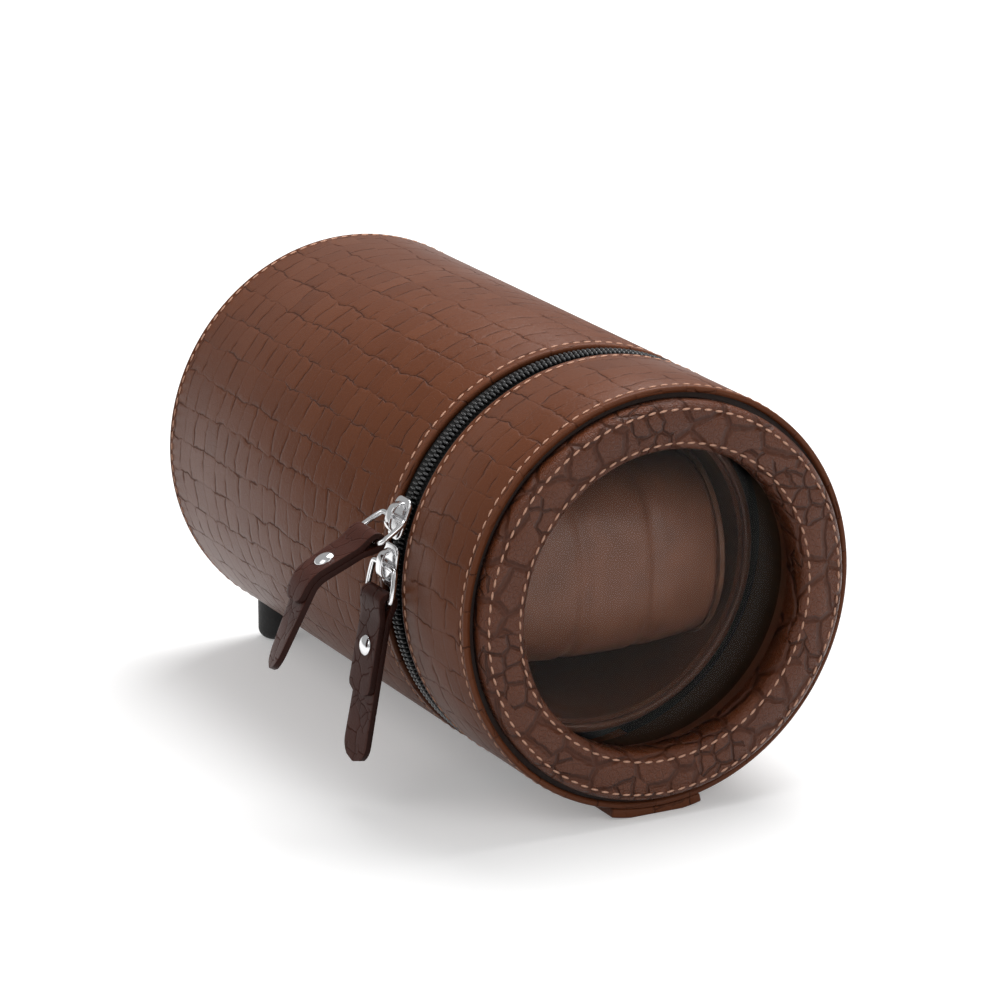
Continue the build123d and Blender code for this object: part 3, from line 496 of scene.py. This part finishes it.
def lathe(profile, steps=240):
    # a closed outline of station and radius pairs, spun round the case's axis
    bm = bmesh.new()
    verts = [bm.verts.new(polar(0, radius, station)) for station, radius in profile]
    edges = [bm.edges.new((verts[i], verts[(i + 1) % len(verts)])) for i in range(len(verts))]
    bmesh.ops.spin(bm, geom=verts + edges, cent=(0, 0, axisZ), axis=(0, 1, 0), angle=2 * pi,
                   steps=steps, use_merge=True)
    bmesh.ops.remove_doubles(bm, verts=bm.verts, dist=0.00001)
    bmesh.ops.recalc_face_normals(bm, faces=bm.faces)
    return bm


def wrapUv(bm):
    # centimetres round the case and along it, running on over the rolled ends
    layer = bm.loops.layers.uv.new("leather")
    for face in bm.faces:
        middle = face.calc_center_median()
        base = atan2(-middle.x, axisZ - middle.z)
        for loop in face.loops:
            spot = loop.vert.co
            angle = atan2(-spot.x, axisZ - spot.z)
            turn = angle - base
            angle -= 2 * pi * round(turn / (2 * pi))
            radius = hypot(spot.x, spot.z - axisZ) / mm
            along = (rearY - spot.y) / mm + (caseRadius - radius)
            loop[layer].uv = (angle * caseRadius / 10, along / 10)


def flatUv(bm, face0, turn):
    # a sheet cut flat for the front, its turned edges running on outwards and inwards
    layer = bm.loops.layers.uv.new("leather")
    for face in bm.faces:
        for loop in face.loops:
            spot = loop.vert.co
            radius = hypot(spot.x, spot.z - axisZ) / mm
            depth = (spot.y - face0) / mm
            reach = radius + (depth if radius > turn else -depth)
            unit = reach / radius / mm / 10
            loop[layer].uv = (spot.x * unit, (spot.z - axisZ) * unit)


def rounded(a, b, corner, radius, steps=5):
    # points of a round corner between the directions from the corner to a and to b
    towardA = (Vector(a) - Vector(corner)).normalized() * radius
    towardB = (Vector(b) - Vector(corner)).normalized() * radius
    centre = Vector(corner) + towardA + towardB
    points = []
    for i in range(steps + 1):
        t = i / steps * pi / 2
        points.append(tuple(centre - towardB * cos(t) - towardA * sin(t)))
    return points


def bead(bm, centre, along, outward, size):
    # one small rounded body: length along, width across, height outward
    side = along.cross(outward).normalized()
    turn = Matrix((along.normalized(), side, outward.normalized())).transposed().to_4x4()
    scale = Matrix.Diagonal((size[0] * mm, size[1] * mm, size[2] * mm, 1.0))
    bmesh.ops.create_uvsphere(bm, u_segments=8, v_segments=6, radius=0.5,
                              matrix=Matrix.Translation(centre) @ turn @ scale)


stitch = {"length": 2.35, "gap": 0.85, "width": 0.62, "height": 0.5, "sink": 0.06, "slant": 0.09}


def stitchRound(bm, radius, station, outward="side"):
    # a row of slightly slanted stitches round the case, on its side or on its front face
    count = round(2 * pi * radius / (stitch["length"] + stitch["gap"]))
    for i in range(count):
        angle = 360 * (i + 0.5) / count
        spot = polar(angle, radius, station)
        along = polar(angle + 1, radius, station) - polar(angle - 1, radius, station)
        face = (spot - Vector((0, spot.y, axisZ))) if outward == "side" else Vector((0, -1, 0))
        along = Matrix.Rotation(stitch["slant"], 3, face.normalized()) @ along
        lift = face.normalized() * (0.5 * stitch["height"] - stitch["sink"]) * mm * 0.2
        bead(bm, spot + lift, along, face, (stitch["length"], stitch["width"], stitch["height"]))


# Side leathers: a rolled edge at each end and a shallow stitching channel
sideLeather = {"wall": 1.6, "roll": 0.7, "channel": 0.22, "channelWidth": 1.0}


def sideProfile(back, front, channels):
    outer = caseRadius
    inner = caseRadius - sideLeather["wall"]
    roll = sideLeather["roll"]
    points = [(back, inner)]
    points += rounded((back, inner), (front, outer), (back, outer), roll)
    for middle in channels:
        half = sideLeather["channelWidth"] / 2
        depth = sideLeather["channel"]
        points += [(middle - half * 1.6, outer), (middle - half, outer - depth * 0.7),
                   (middle, outer - depth), (middle + half, outer - depth * 0.7),
                   (middle + half * 1.6, outer)]
    points += rounded((back, outer), (front, inner), (front, outer), roll)
    points.append((front, inner))
    return points


bodyStitches = (1.9, bodyEdge - 2.6)
lidStitches = (lidEdge + 2.0, lidFront - 1.9)
bm = lathe(sideProfile(0.0, bodyEdge, bodyStitches))
wrapUv(bm)
addPiece("bodyLeatherWrap", bm, "case", bodyLeather, ("body_leather",))
bm = lathe(sideProfile(lidEdge, lidFront, lidStitches))
wrapUv(bm)
addPiece("lidLeatherWrap", bm, "lid", bodyLeather, ("lid_leather",))

# Front ring: a padded sheet rolled over the outer rim and into the window
ringLow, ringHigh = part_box("front_ring")
ringShape = {"outer": (ringHigh.z - ringLow.z) / 2 / mm, "inner": 39.5, "wall": 1.0, "back": 5.2,
             "roll": 2.0, "crown": 0.35, "stitchInset": 1.9, "turn": 46.0, "channel": 0.25,
             "channelHalf": 0.8}
ringStitches = (ringShape["inner"] + ringShape["stitchInset"], ringShape["outer"] - ringShape["stitchInset"])
windowDepth = (ringHigh.y - ringLow.y) / mm


def ringProfile():
    front = frontStation
    inner, outer = ringShape["inner"], ringShape["outer"]
    roll, crown = ringShape["roll"], ringShape["crown"]
    points = [(front - windowDepth, inner)]
    points += rounded((0, inner), (front - crown, outer), (front - crown, inner), roll)
    steps = 14
    for i in range(1, steps):
        t = i / steps
        radius = inner + roll + (outer - inner - 2 * roll) * t
        channel = 0.0
        for line in ringStitches:
            channel = max(channel, 1 - abs(radius - line) / ringShape["channelHalf"])
        points.append((front - crown + crown * sin(pi * t) - ringShape["channel"] * channel, radius))
    points += rounded((front - crown, inner), (0, outer), (front - crown, outer), roll)
    points.append((front - ringShape["back"], outer))
    points.append((front - ringShape["back"], inner + ringShape["wall"]))
    points.append((front - windowDepth, inner + ringShape["wall"]))
    return points


bm = lathe(ringProfile())
flatUv(bm, ringLow.y, ringShape["turn"])
addPiece("frontRingLeather", bm, "lid", ringLeather, ("front_ring",))

# Stitches, as real thread
bm = bmesh.new()
for station in bodyStitches:
    stitchRound(bm, caseRadius - sideLeather["channel"] + 0.12, station)
addPiece("bodyStitches", bm, "case", threadLook)
bm = bmesh.new()
for station in lidStitches:
    stitchRound(bm, caseRadius - sideLeather["channel"] + 0.12, station)
ringFace = frontStation - ringShape["crown"] - 0.05
for radius in ringStitches:
    stitchRound(bm, radius, ringFace, "front")
addPiece("lidStitches", bm, "lid", threadLook)
print("leather and stitches made")

# Zip teeth: moulded heads that mesh across the slit, bent to the case
coilLow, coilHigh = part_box("zip_coil_body")
zipTooth = {"pitch": 1.32, "reach": 3.1, "overlap": 0.4, "width": 0.86, "height": 1.45, "open": 16.5}
toothRadius = (coilHigh.x - coilLow.x) / 2 / mm - zipTooth["height"] / 2


def zipTeeth(direction, phase):
    bm = bmesh.new()
    spanned = 360 - 2 * zipTooth["open"]
    count = int(toothRadius * radians(spanned) / zipTooth["pitch"])
    middle = zipStation + direction * (zipTooth["reach"] / 2 - zipTooth["overlap"])
    for i in range(count):
        angle = zipTooth["open"] + spanned * (i + phase) / count
        spot = polar(angle, toothRadius, middle)
        outward = spot - Vector((0, spot.y, axisZ))
        bead(bm, spot, Vector((0, 1, 0)), outward, (zipTooth["reach"], zipTooth["width"], zipTooth["height"]))
    return bm


addPiece("zipTeethBody", zipTeeth(-1, 0.25), "case", coilNylon, ("zip_coil_body",))
addPiece("zipTeethLid", zipTeeth(1, 0.75), "lid", coilNylon, ("zip_coil_lid",))

# Hinge strap: one leather strip that spans the gap, curved to the case
strapShape = {"width": 25.0, "thick": 2.4, "lift": 0.1, "soft": 0.5,
              "back": (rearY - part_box("hinge_strap_body")[1].y) / mm,
              "front": (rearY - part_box("hinge_strap_lid")[0].y) / mm}


def strapMesh():
    bm = bmesh.new()
    long = strapShape["front"] - strapShape["back"]
    bmesh.ops.create_grid(bm, x_segments=14, y_segments=40, size=0.5)
    for vert in bm.verts:
        x = vert.co.x * strapShape["width"]
        station = strapShape["back"] + (vert.co.y + 0.5) * long
        high = axisZ / mm - sqrt((caseRadius + strapShape["lift"]) ** 2 - x * x)
        vert.co = Vector((x * mm, rearY - station * mm, high * mm))
    bmesh.ops.recalc_face_normals(bm, faces=bm.faces)
    if sum(face.normal.z for face in bm.faces) > 0:
        bmesh.ops.reverse_faces(bm, faces=bm.faces)
    top = list(bm.faces)
    made = bmesh.ops.extrude_face_region(bm, geom=top)
    for vert in (g for g in made["geom"] if isinstance(g, bmesh.types.BMVert)):
        out = vert.co - Vector((0, vert.co.y, axisZ))
        vert.co += out.normalized() * strapShape["thick"] * mm
        vert.co.z = max(vert.co.z, 0.0)
    bmesh.ops.reverse_faces(bm, faces=top)
    bmesh.ops.recalc_face_normals(bm, faces=bm.faces)
    rims = [e for e in bm.edges if e.calc_face_angle(0) > radians(60)]
    bmesh.ops.bevel(bm, geom=rims, offset=strapShape["soft"] * mm, segments=3, profile=0.5,
                    affect="EDGES", material=-1)
    wrapUv(bm)
    return bm


strap = addPiece("hingeStrap", strapMesh(), None, bodyLeather,
                 ("hinge_strap_body", "hinge_strap_lid"))
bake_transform(strap)
print("zip and hinge strap made")

# Sliders, wire rings and pulls
sliderLook = {"long": 11.0, "wide": 8.0, "plate": 1.2, "taper": 0.16, "bridgeLong": 8.4,
              "bridgeWide": 2.6, "bridgeHigh": 3.2, "webLong": 3.0, "webWide": 0.5,
              "topRadius": 56.35, "bottomRadius": 52.35}


def onCase(bm, angle, radius):
    # u round the case, v across it, w outwards, all mm, carried onto the cylinder
    for vert in bm.verts:
        u, v, w = vert.co
        vert.co = polar(angle + degrees(u / radius), radius + w, zipStation - v)


def plateBlock():
    long, wide, thick = sliderLook["long"], sliderLook["wide"], sliderLook["plate"]
    bm = bmesh.new()
    bmesh.ops.create_cube(bm, size=1.0)
    for vert in bm.verts:
        vert.co = Vector((vert.co.x * long, vert.co.y * wide, vert.co.z * thick - thick / 2))
    corners = [e for e in bm.edges if abs(e.verts[0].co.z - e.verts[1].co.z) > thick / 2]
    bmesh.ops.bevel(bm, geom=corners, offset=wide * 0.3, segments=6, profile=0.5, affect="EDGES", material=-1)
    rims = [e for e in bm.edges if e.calc_face_angle(0) > radians(50)]
    bmesh.ops.bevel(bm, geom=rims, offset=thick * 0.3, segments=3, profile=0.5, affect="EDGES", material=-1)
    for vert in bm.verts:
        vert.co.y *= 1 - sliderLook["taper"] * (0.5 - vert.co.x / long)
    return bm


def mergeInto(target, other):
    mesh = bpy.data.meshes.new("scratch")
    other.to_mesh(mesh)
    other.free()
    target.from_mesh(mesh)
    bpy.data.meshes.remove(mesh)


def bridge():
    bm = bmesh.new()
    bmesh.ops.create_cube(bm, size=1.0)
    half = sliderLook["bridgeLong"] / 2
    for vert in bm.verts:
        vert.co = Vector((vert.co.x * 2 * half, vert.co.y * sliderLook["bridgeWide"], vert.co.z * 1.0))
    lengthwise = [e for e in bm.edges if abs(e.verts[0].co.x - e.verts[1].co.x) > half]
    bmesh.ops.subdivide_edges(bm, edges=lengthwise, cuts=15, use_grid_fill=True)
    for vert in bm.verts:
        share = min(1.0, abs(vert.co.x) / half)
        rise = (1 - share ** 3) ** 0.5
        vert.co.z += (sliderLook["bridgeHigh"] - 0.6) * rise - 0.2
        vert.co.x *= 1 - 0.1 * vert.co.z / sliderLook["bridgeHigh"]
    rims = [e for e in bm.edges if e.calc_face_angle(0) > radians(50)]
    bmesh.ops.bevel(bm, geom=rims, offset=0.25, segments=2, profile=0.5, affect="EDGES", material=-1)
    return bm


def makeSlider(name, angle, node, body):
    plate = sliderLook["plate"]
    bm = plateBlock()
    mergeInto(bm, bridge())
    onCase(bm, angle, sliderLook["topRadius"])
    under = plateBlock()
    onCase(under, angle, sliderLook["bottomRadius"])
    mergeInto(bm, under)
    web = bmesh.new()
    bmesh.ops.create_cube(web, size=1.0)
    tall = sliderLook["topRadius"] - sliderLook["bottomRadius"] - plate
    for vert in web.verts:
        vert.co = Vector((vert.co.x * sliderLook["webLong"], vert.co.y * sliderLook["webWide"],
                          (vert.co.z - 0.5) * tall - plate + 0.1))
    onCase(web, angle, sliderLook["topRadius"])
    mergeInto(bm, web)
    bmesh.ops.recalc_face_normals(bm, faces=bm.faces)
    return addPiece(name, bm, body, chrome, (node,))


pullPath = {"pivot": 57.4, "ring": 8.6, "inner": 1.0, "leather": 1.6, "length": 43.0, "lap": 25.0,
            "bendRadius": 8.0, "tip": 5.2, "flapTip": 2.6, "width": 11.0, "rivet": 12.5}
wireShape = {"half": 6.7, "waist": 5.2, "corner": 0.9, "flare": 0.5, "wire": 0.72}
rivetShape = {"outline": [(0.0, 1.15), (0.8, 1.1), (1.6, 0.9), (2.2, 0.6), (2.6, 0.25), (2.75, 0.0),
                          (2.6, -0.1)],
              "back": (2.6, 2.3), "backDepth": 0.5, "steps": 32}
upperPull = {"angle": 109.0, "ringTilt": 60.0, "tilt": 65.0, "drop": 26.0, "bendAt": 18.5, "twist": 18.0}
lowerPull = {"angle": 96.5, "ringTilt": 10.7, "tilt": 10.7, "drop": 10.7, "bendAt": 43.0, "twist": -4.0}


def heading(tilt):
    # a direction tilted outwards from straight down
    return Vector((-sin(radians(tilt)), 0, -cos(radians(tilt))))


def ringSpots(pull):
    pivot = polar(pull["angle"], pullPath["pivot"], zipStation)
    return pivot, pivot + heading(pull["ringTilt"]) * pullPath["ring"] * mm


def wireRing(name, pull, node, body):
    pivot, fold = ringSpots(pull)
    along = (fold - pivot).normalized()
    curve = bpy.data.curves.new(name, "CURVE")
    curve.dimensions = "3D"
    spline = curve.splines.new("NURBS")
    half, waist, corner, flare = (wireShape[key] for key in ("half", "waist", "corner", "flare"))
    long = pullPath["ring"]
    right = [(half - corner, long), (half, long - corner), (half, long * 0.5), (waist + corner, flare),
             (waist, 0)]
    outline = [(0, 0), *((-across, down) for across, down in reversed(right)), (0, long), *right]
    spline.points.add(len(outline) - 1)
    for point, (across, down) in zip(spline.points, outline):
        point.co = (*(pivot + Vector((0, across * mm, 0)) + along * down * mm), 1)
    spline.use_cyclic_u = True
    spline.order_u = 3
    spline.resolution_u = 8
    curve.bevel_depth = wireShape["wire"] * mm
    curve.bevel_resolution = 5
    holder = bpy.data.objects.new(name, curve)
    bpy.context.scene.collection.objects.link(holder)
    bpy.context.view_layer.update()
    mesh = bpy.data.meshes.new_from_object(holder)
    bpy.data.objects.remove(holder)
    bm = bmesh.new()
    bm.from_mesh(mesh)
    bpy.data.meshes.remove(mesh)
    bmesh.ops.remove_doubles(bm, verts=bm.verts, dist=0.000001)
    bmesh.ops.recalc_face_normals(bm, faces=bm.faces)
    return addPiece(name, bm, body, chrome, (node,))


def alongPull(pull, distance, offset):
    # a point of the pull's middle line, moved off it by offset towards the case
    first = heading(pull["tilt"])
    inward = Vector((-first.z, 0, first.x))
    turn = radians(pull["tilt"] - pull["drop"])
    fold = ringSpots(pull)[1]
    radius = pullPath["bendRadius"]
    start = pull["bendAt"] - radius * abs(turn) / 2 if turn else 1e9
    if distance <= start:
        return fold + (first * distance + inward * offset) * mm
    swung = min(turn, (distance - start) / radius)
    centre = first * start + inward * radius
    here = centre - (inward * cos(swung) - first * sin(swung)) * radius
    ahead = first * cos(swung) + inward * sin(swung)
    side = inward * cos(swung) - first * sin(swung)
    extra = distance - start - swung * radius
    return fold + (here + ahead * extra + side * offset) * mm


def twisted(pull, distance, spot):
    # the leather turns a little about its own middle line, more towards its tip
    middle = alongPull(pull, distance, 0)
    ahead = alongPull(pull, distance + 0.5, 0) - middle
    turn = radians(pull["twist"]) * max(0.0, distance / pullPath["length"]) ** 1.3
    return middle + Matrix.Rotation(turn, 3, ahead.normalized()) @ (spot - middle)


def pullLine(pull):
    # from the flap's end round the ring's bar to the tip: place and distance from that end
    half = pullPath["leather"] / 2 + 0.02
    loop = pullPath["inner"] + pullPath["leather"] / 2
    steps = []
    for i in range(25):
        distance = pullPath["lap"] * (1 - i / 24)
        spread = max(0.0, 1 - distance / 5.5) ** 2 * (3 - 2 * max(0.0, 1 - distance / 5.5))
        steps.append((distance, -half - (loop - half) * spread))
    line = [(alongPull(pull, d, off), d) for d, off in steps]
    fold = ringSpots(pull)[1]
    first = heading(pull["tilt"])
    inward = Vector((-first.z, 0, first.x))
    for i in range(1, 12):
        t = pi * i / 12
        line.append((fold - (first * sin(t) + inward * cos(t)) * loop * mm, 0.0))
    for i in range(45):
        distance = pullPath["length"] * i / 44
        spread = max(0.0, 1 - distance / 5.5) ** 2 * (3 - 2 * max(0.0, 1 - distance / 5.5))
        line.append((alongPull(pull, distance, half + (loop - half) * spread), distance))
    return line


def makePull(name, pull, node, body):
    line = pullLine(pull)
    run = [0.0]
    for (a, _), (b, _) in zip(line, line[1:]):
        run.append(run[-1] + (b - a).length / mm)
    bm = bmesh.new()
    across = 10
    bmesh.ops.create_grid(bm, x_segments=across, y_segments=len(line) - 1, size=0.5)
    layer = bm.loops.layers.uv.new("leather")
    flat = {}
    for vert in bm.verts:
        index = min(len(line) - 1, max(0, round((vert.co.y + 0.5) * (len(line) - 1))))
        travelled = run[index]
        half = pullPath["width"] / 2
        for reach, radius in ((travelled, pullPath["flapTip"]), (run[-1] - travelled, pullPath["tip"])):
            if reach < radius:
                cut = radius - sqrt(max(0.0, radius ** 2 - (radius - reach) ** 2))
                half = min(half, pullPath["width"] / 2 - cut)
        y = vert.co.x * 2 * half
        flat[vert] = (travelled / 10, y / 10)
        spot, distance = line[index]
        vert.co = twisted(pull, distance, spot + Vector((0, y * mm, 0)))
    for face in bm.faces:
        for loop in face.loops:
            loop[layer].uv = flat[loop.vert]
    bmesh.ops.recalc_face_normals(bm, faces=bm.faces)
    piece = addPiece(name, bm, body, (pullLeather, edgePaint), (node,))
    solid = piece.modifiers.new("thickness", "SOLIDIFY")
    solid.thickness = (pullPath["leather"] - 0.12) * mm
    solid.offset = 0.0
    solid.use_even_offset = True
    solid.material_offset_rim = 1
    edge = piece.modifiers.new("softEdge", "BEVEL")
    edge.width = 0.3 * mm
    edge.segments = 2
    edge.limit_method = "ANGLE"
    edge.angle_limit = radians(50)
    edge.material = 1
    return piece


def makeRivet(name, pull, node, body):
    first = heading(pull["tilt"])
    inward = Vector((-first.z, 0, first.x))
    seat = alongPull(pull, pullPath["rivet"], -pullPath["leather"])
    turn = Matrix((first, inward.cross(first) * -1, -inward)).transposed().to_4x4()
    bm = bmesh.new()
    verts = [bm.verts.new((r * mm, 0, h * mm)) for r, h in rivetShape["outline"]]
    edges = [bm.edges.new(pair) for pair in zip(verts, verts[1:])]
    bmesh.ops.spin(bm, geom=verts + edges, cent=(0, 0, 0), axis=(0, 0, 1), angle=2 * pi,
                   steps=rivetShape["steps"], use_merge=True)
    bmesh.ops.remove_doubles(bm, verts=bm.verts, dist=0.000005)
    bmesh.ops.holes_fill(bm, edges=bm.edges)
    bmesh.ops.recalc_face_normals(bm, faces=bm.faces)
    bmesh.ops.transform(bm, matrix=Matrix.Translation(seat) @ turn, verts=bm.verts)
    back = bmesh.new()
    low, high = rivetShape["back"]
    bmesh.ops.create_cone(back, cap_ends=True, segments=rivetShape["steps"], radius1=low * mm,
                          radius2=high * mm, depth=rivetShape["backDepth"] * mm)
    under = alongPull(pull, pullPath["rivet"], pullPath["leather"] + rivetShape["backDepth"] / 2)
    flipped = Matrix((first, inward.cross(first), inward)).transposed().to_4x4()
    bmesh.ops.transform(back, matrix=Matrix.Translation(under) @ flipped, verts=back.verts)
    mergeInto(bm, back)
    return addPiece(name, bm, body, chrome, (node,))


for side, pull in (("upper", upperPull), ("lower", lowerPull)):
    makeSlider(side + "SliderBody", pull["angle"], side + "_slider", side + "_slider")
    wireRing(side + "WireRing", pull, side + "_ring", side + "_ring")
    makePull(side + "PullStrap", pull, side + "_pull", side + "_pull")
    makeRivet(side + "PullRivet", pull, side + "_rivet", side + "_pull")
print("sliders and pulls made")

# Watch cushion: a crowned roll with two puckered seams and drawn-in ends
cushionLow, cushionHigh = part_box("cushion_pad")
cushionShape = {"squareness": 2.3, "drawIn": 0.07, "seams": (-0.36, 0.36), "seamDepth": 0.9,
                "seamReach": 0.09, "pucker": 0.25, "puckers": 42, "long": 0.995, "round": 0.98}


def cushionMesh():
    middle = (cushionLow + cushionHigh) / 2
    half = (cushionHigh - cushionLow) / 2
    bm = bmesh.new()
    bmesh.ops.create_cone(bm, cap_ends=True, segments=96, radius1=1.0, radius2=1.0, depth=2.0)
    sides = [e for e in bm.edges if abs(e.verts[0].co.z - e.verts[1].co.z) > 1]
    bmesh.ops.subdivide_edges(bm, edges=sides, cuts=48, use_grid_fill=True)
    for vert in bm.verts:
        x, angle = vert.co.z, atan2(vert.co.y, vert.co.x)
        crown = 1 - cushionShape["drawIn"] * abs(x) ** 2.4
        power = 2 / cushionShape["squareness"]
        across = abs(cos(angle)) ** power * (1 if cos(angle) >= 0 else -1)
        up = abs(sin(angle)) ** power * (1 if sin(angle) >= 0 else -1)
        dent = 0.0
        for seam in cushionShape["seams"]:
            near = max(0.0, 1 - abs(x - seam) / cushionShape["seamReach"])
            ripple = cushionShape["pucker"] * sin(angle * cushionShape["puckers"])
            dent = max(dent, near ** 1.5 * (1 + ripple))
        shrink = cushionShape["seamDepth"] * mm * dent
        vert.co = Vector((middle.x + x * half.x * cushionShape["long"],
                          middle.y + across * (half.y * crown * cushionShape["round"] - shrink),
                          middle.z + up * (half.z * crown * cushionShape["round"] - shrink)))
    bmesh.ops.recalc_face_normals(bm, faces=bm.faces)
    return bm


cushion = addPiece("watchCushion", cushionMesh(), "cushion", cushionLeather, ("cushion_pad",))
print("cushion made")


# Camera, floor and lights
view = {"azimuth": -27.71, "elevation": 17.08, "distance": 22.81, "right": 0.0232, "up": 0.0346,
        "lens": 170.24, "station": 89.0}
unit = caseRadius * mm
azimuth, elevation = radians(view["azimuth"]), radians(view["elevation"])
backward = Vector((sin(azimuth) * cos(elevation), -cos(azimuth) * cos(elevation), sin(elevation)))
rightward = Vector((cos(azimuth), sin(azimuth), 0))
upward = backward.cross(rightward)
centre = Vector((0, rearY - view["station"] * mm, axisZ))
camera = bpy.data.objects.new("camera", bpy.data.cameras.new("camera"))
reach = backward * view["distance"] + rightward * view["right"] + upward * view["up"]
camera.location = centre + reach * unit
camera.rotation_euler = (-backward).to_track_quat("-Z", "Y").to_euler()
camera.data.lens = view["lens"]
camera.data.sensor_width = 36.0
camera.data.clip_end = 20.0
bpy.context.scene.collection.objects.link(camera)
bpy.context.scene.camera = camera


backdrop = {"pale": 0.86, "bounce": 0.32, "glow": 0.24, "ambient": 0.42}


def backdropMaterial():
    material = bpy.data.materials.new("paleFloor")
    material.use_nodes = True
    tree = material.node_tree
    tree.nodes.clear()
    out = tree.nodes.new("ShaderNodeOutputMaterial")
    base = tree.nodes.new("ShaderNodeBsdfDiffuse")
    glow = tree.nodes.new("ShaderNodeEmission")
    path = tree.nodes.new("ShaderNodeLightPath")
    seen = math(tree, "MAXIMUM", math(tree, "MAXIMUM", path.outputs["Is Camera Ray"],
                                      path.outputs["Is Glossy Ray"]), path.outputs["Is Transmission Ray"])
    tree.links.new(math(tree, "MULTIPLY", seen, backdrop["glow"]), glow.inputs["Strength"])
    pale, bounced = (backdrop["pale"],) * 3, (backdrop["bounce"],) * 3
    tree.links.new(mixColour(tree, path.outputs["Is Diffuse Ray"], pale, bounced), base.inputs["Color"])
    both = tree.nodes.new("ShaderNodeAddShader")
    tree.links.new(base.outputs[0], both.inputs[0])
    tree.links.new(glow.outputs[0], both.inputs[1])
    tree.links.new(both.outputs[0], out.inputs["Surface"])
    return material


bm = bmesh.new()
bmesh.ops.create_grid(bm, x_segments=1, y_segments=1, size=4.0)
floorMesh = bpy.data.meshes.new("floor")
bm.to_mesh(floorMesh)
bm.free()
floor = bpy.data.objects.new("floor", floorMesh)
floorMesh.materials.append(backdropMaterial())
bpy.context.scene.collection.objects.link(floor)

lamps = {
    "topSoft": {"spot": (0.55, 0.35, 1.35), "size": 1.1, "power": 20},
    "leftSoft": {"spot": (-1.2, -0.1, 1.1), "size": 1.1, "power": 5},
    "frontSoft": {"spot": (0.4, -1.6, 0.9), "size": 1.2, "power": 7},
}
for name, lamp in lamps.items():
    light = bpy.data.lights.new(name, "AREA")
    light.size = lamp["size"]
    light.energy = lamp["power"]
    holder = bpy.data.objects.new(name, light)
    holder.location = lamp["spot"]
    holder.rotation_euler = (centre - Vector(lamp["spot"])).to_track_quat("-Z", "Y").to_euler()
    bpy.context.scene.collection.objects.link(holder)

world = bpy.data.worlds.new("studio")
bpy.context.scene.world = world
world.use_nodes = True
tree = world.node_tree
background = tree.nodes["Background"]
path = tree.nodes.new("ShaderNodeLightPath")
seen = math(tree, "MAXIMUM", path.outputs["Is Camera Ray"], path.outputs["Is Transmission Ray"])
tree.links.new(mapRange(tree, seen, 0.0, 1.0, backdrop["ambient"], 1.0), background.inputs["Strength"])
background.inputs["Color"].default_value = (1, 1, 1, 1)
bpy.context.scene.view_settings.view_transform = "Standard"
print("camera and lights set")
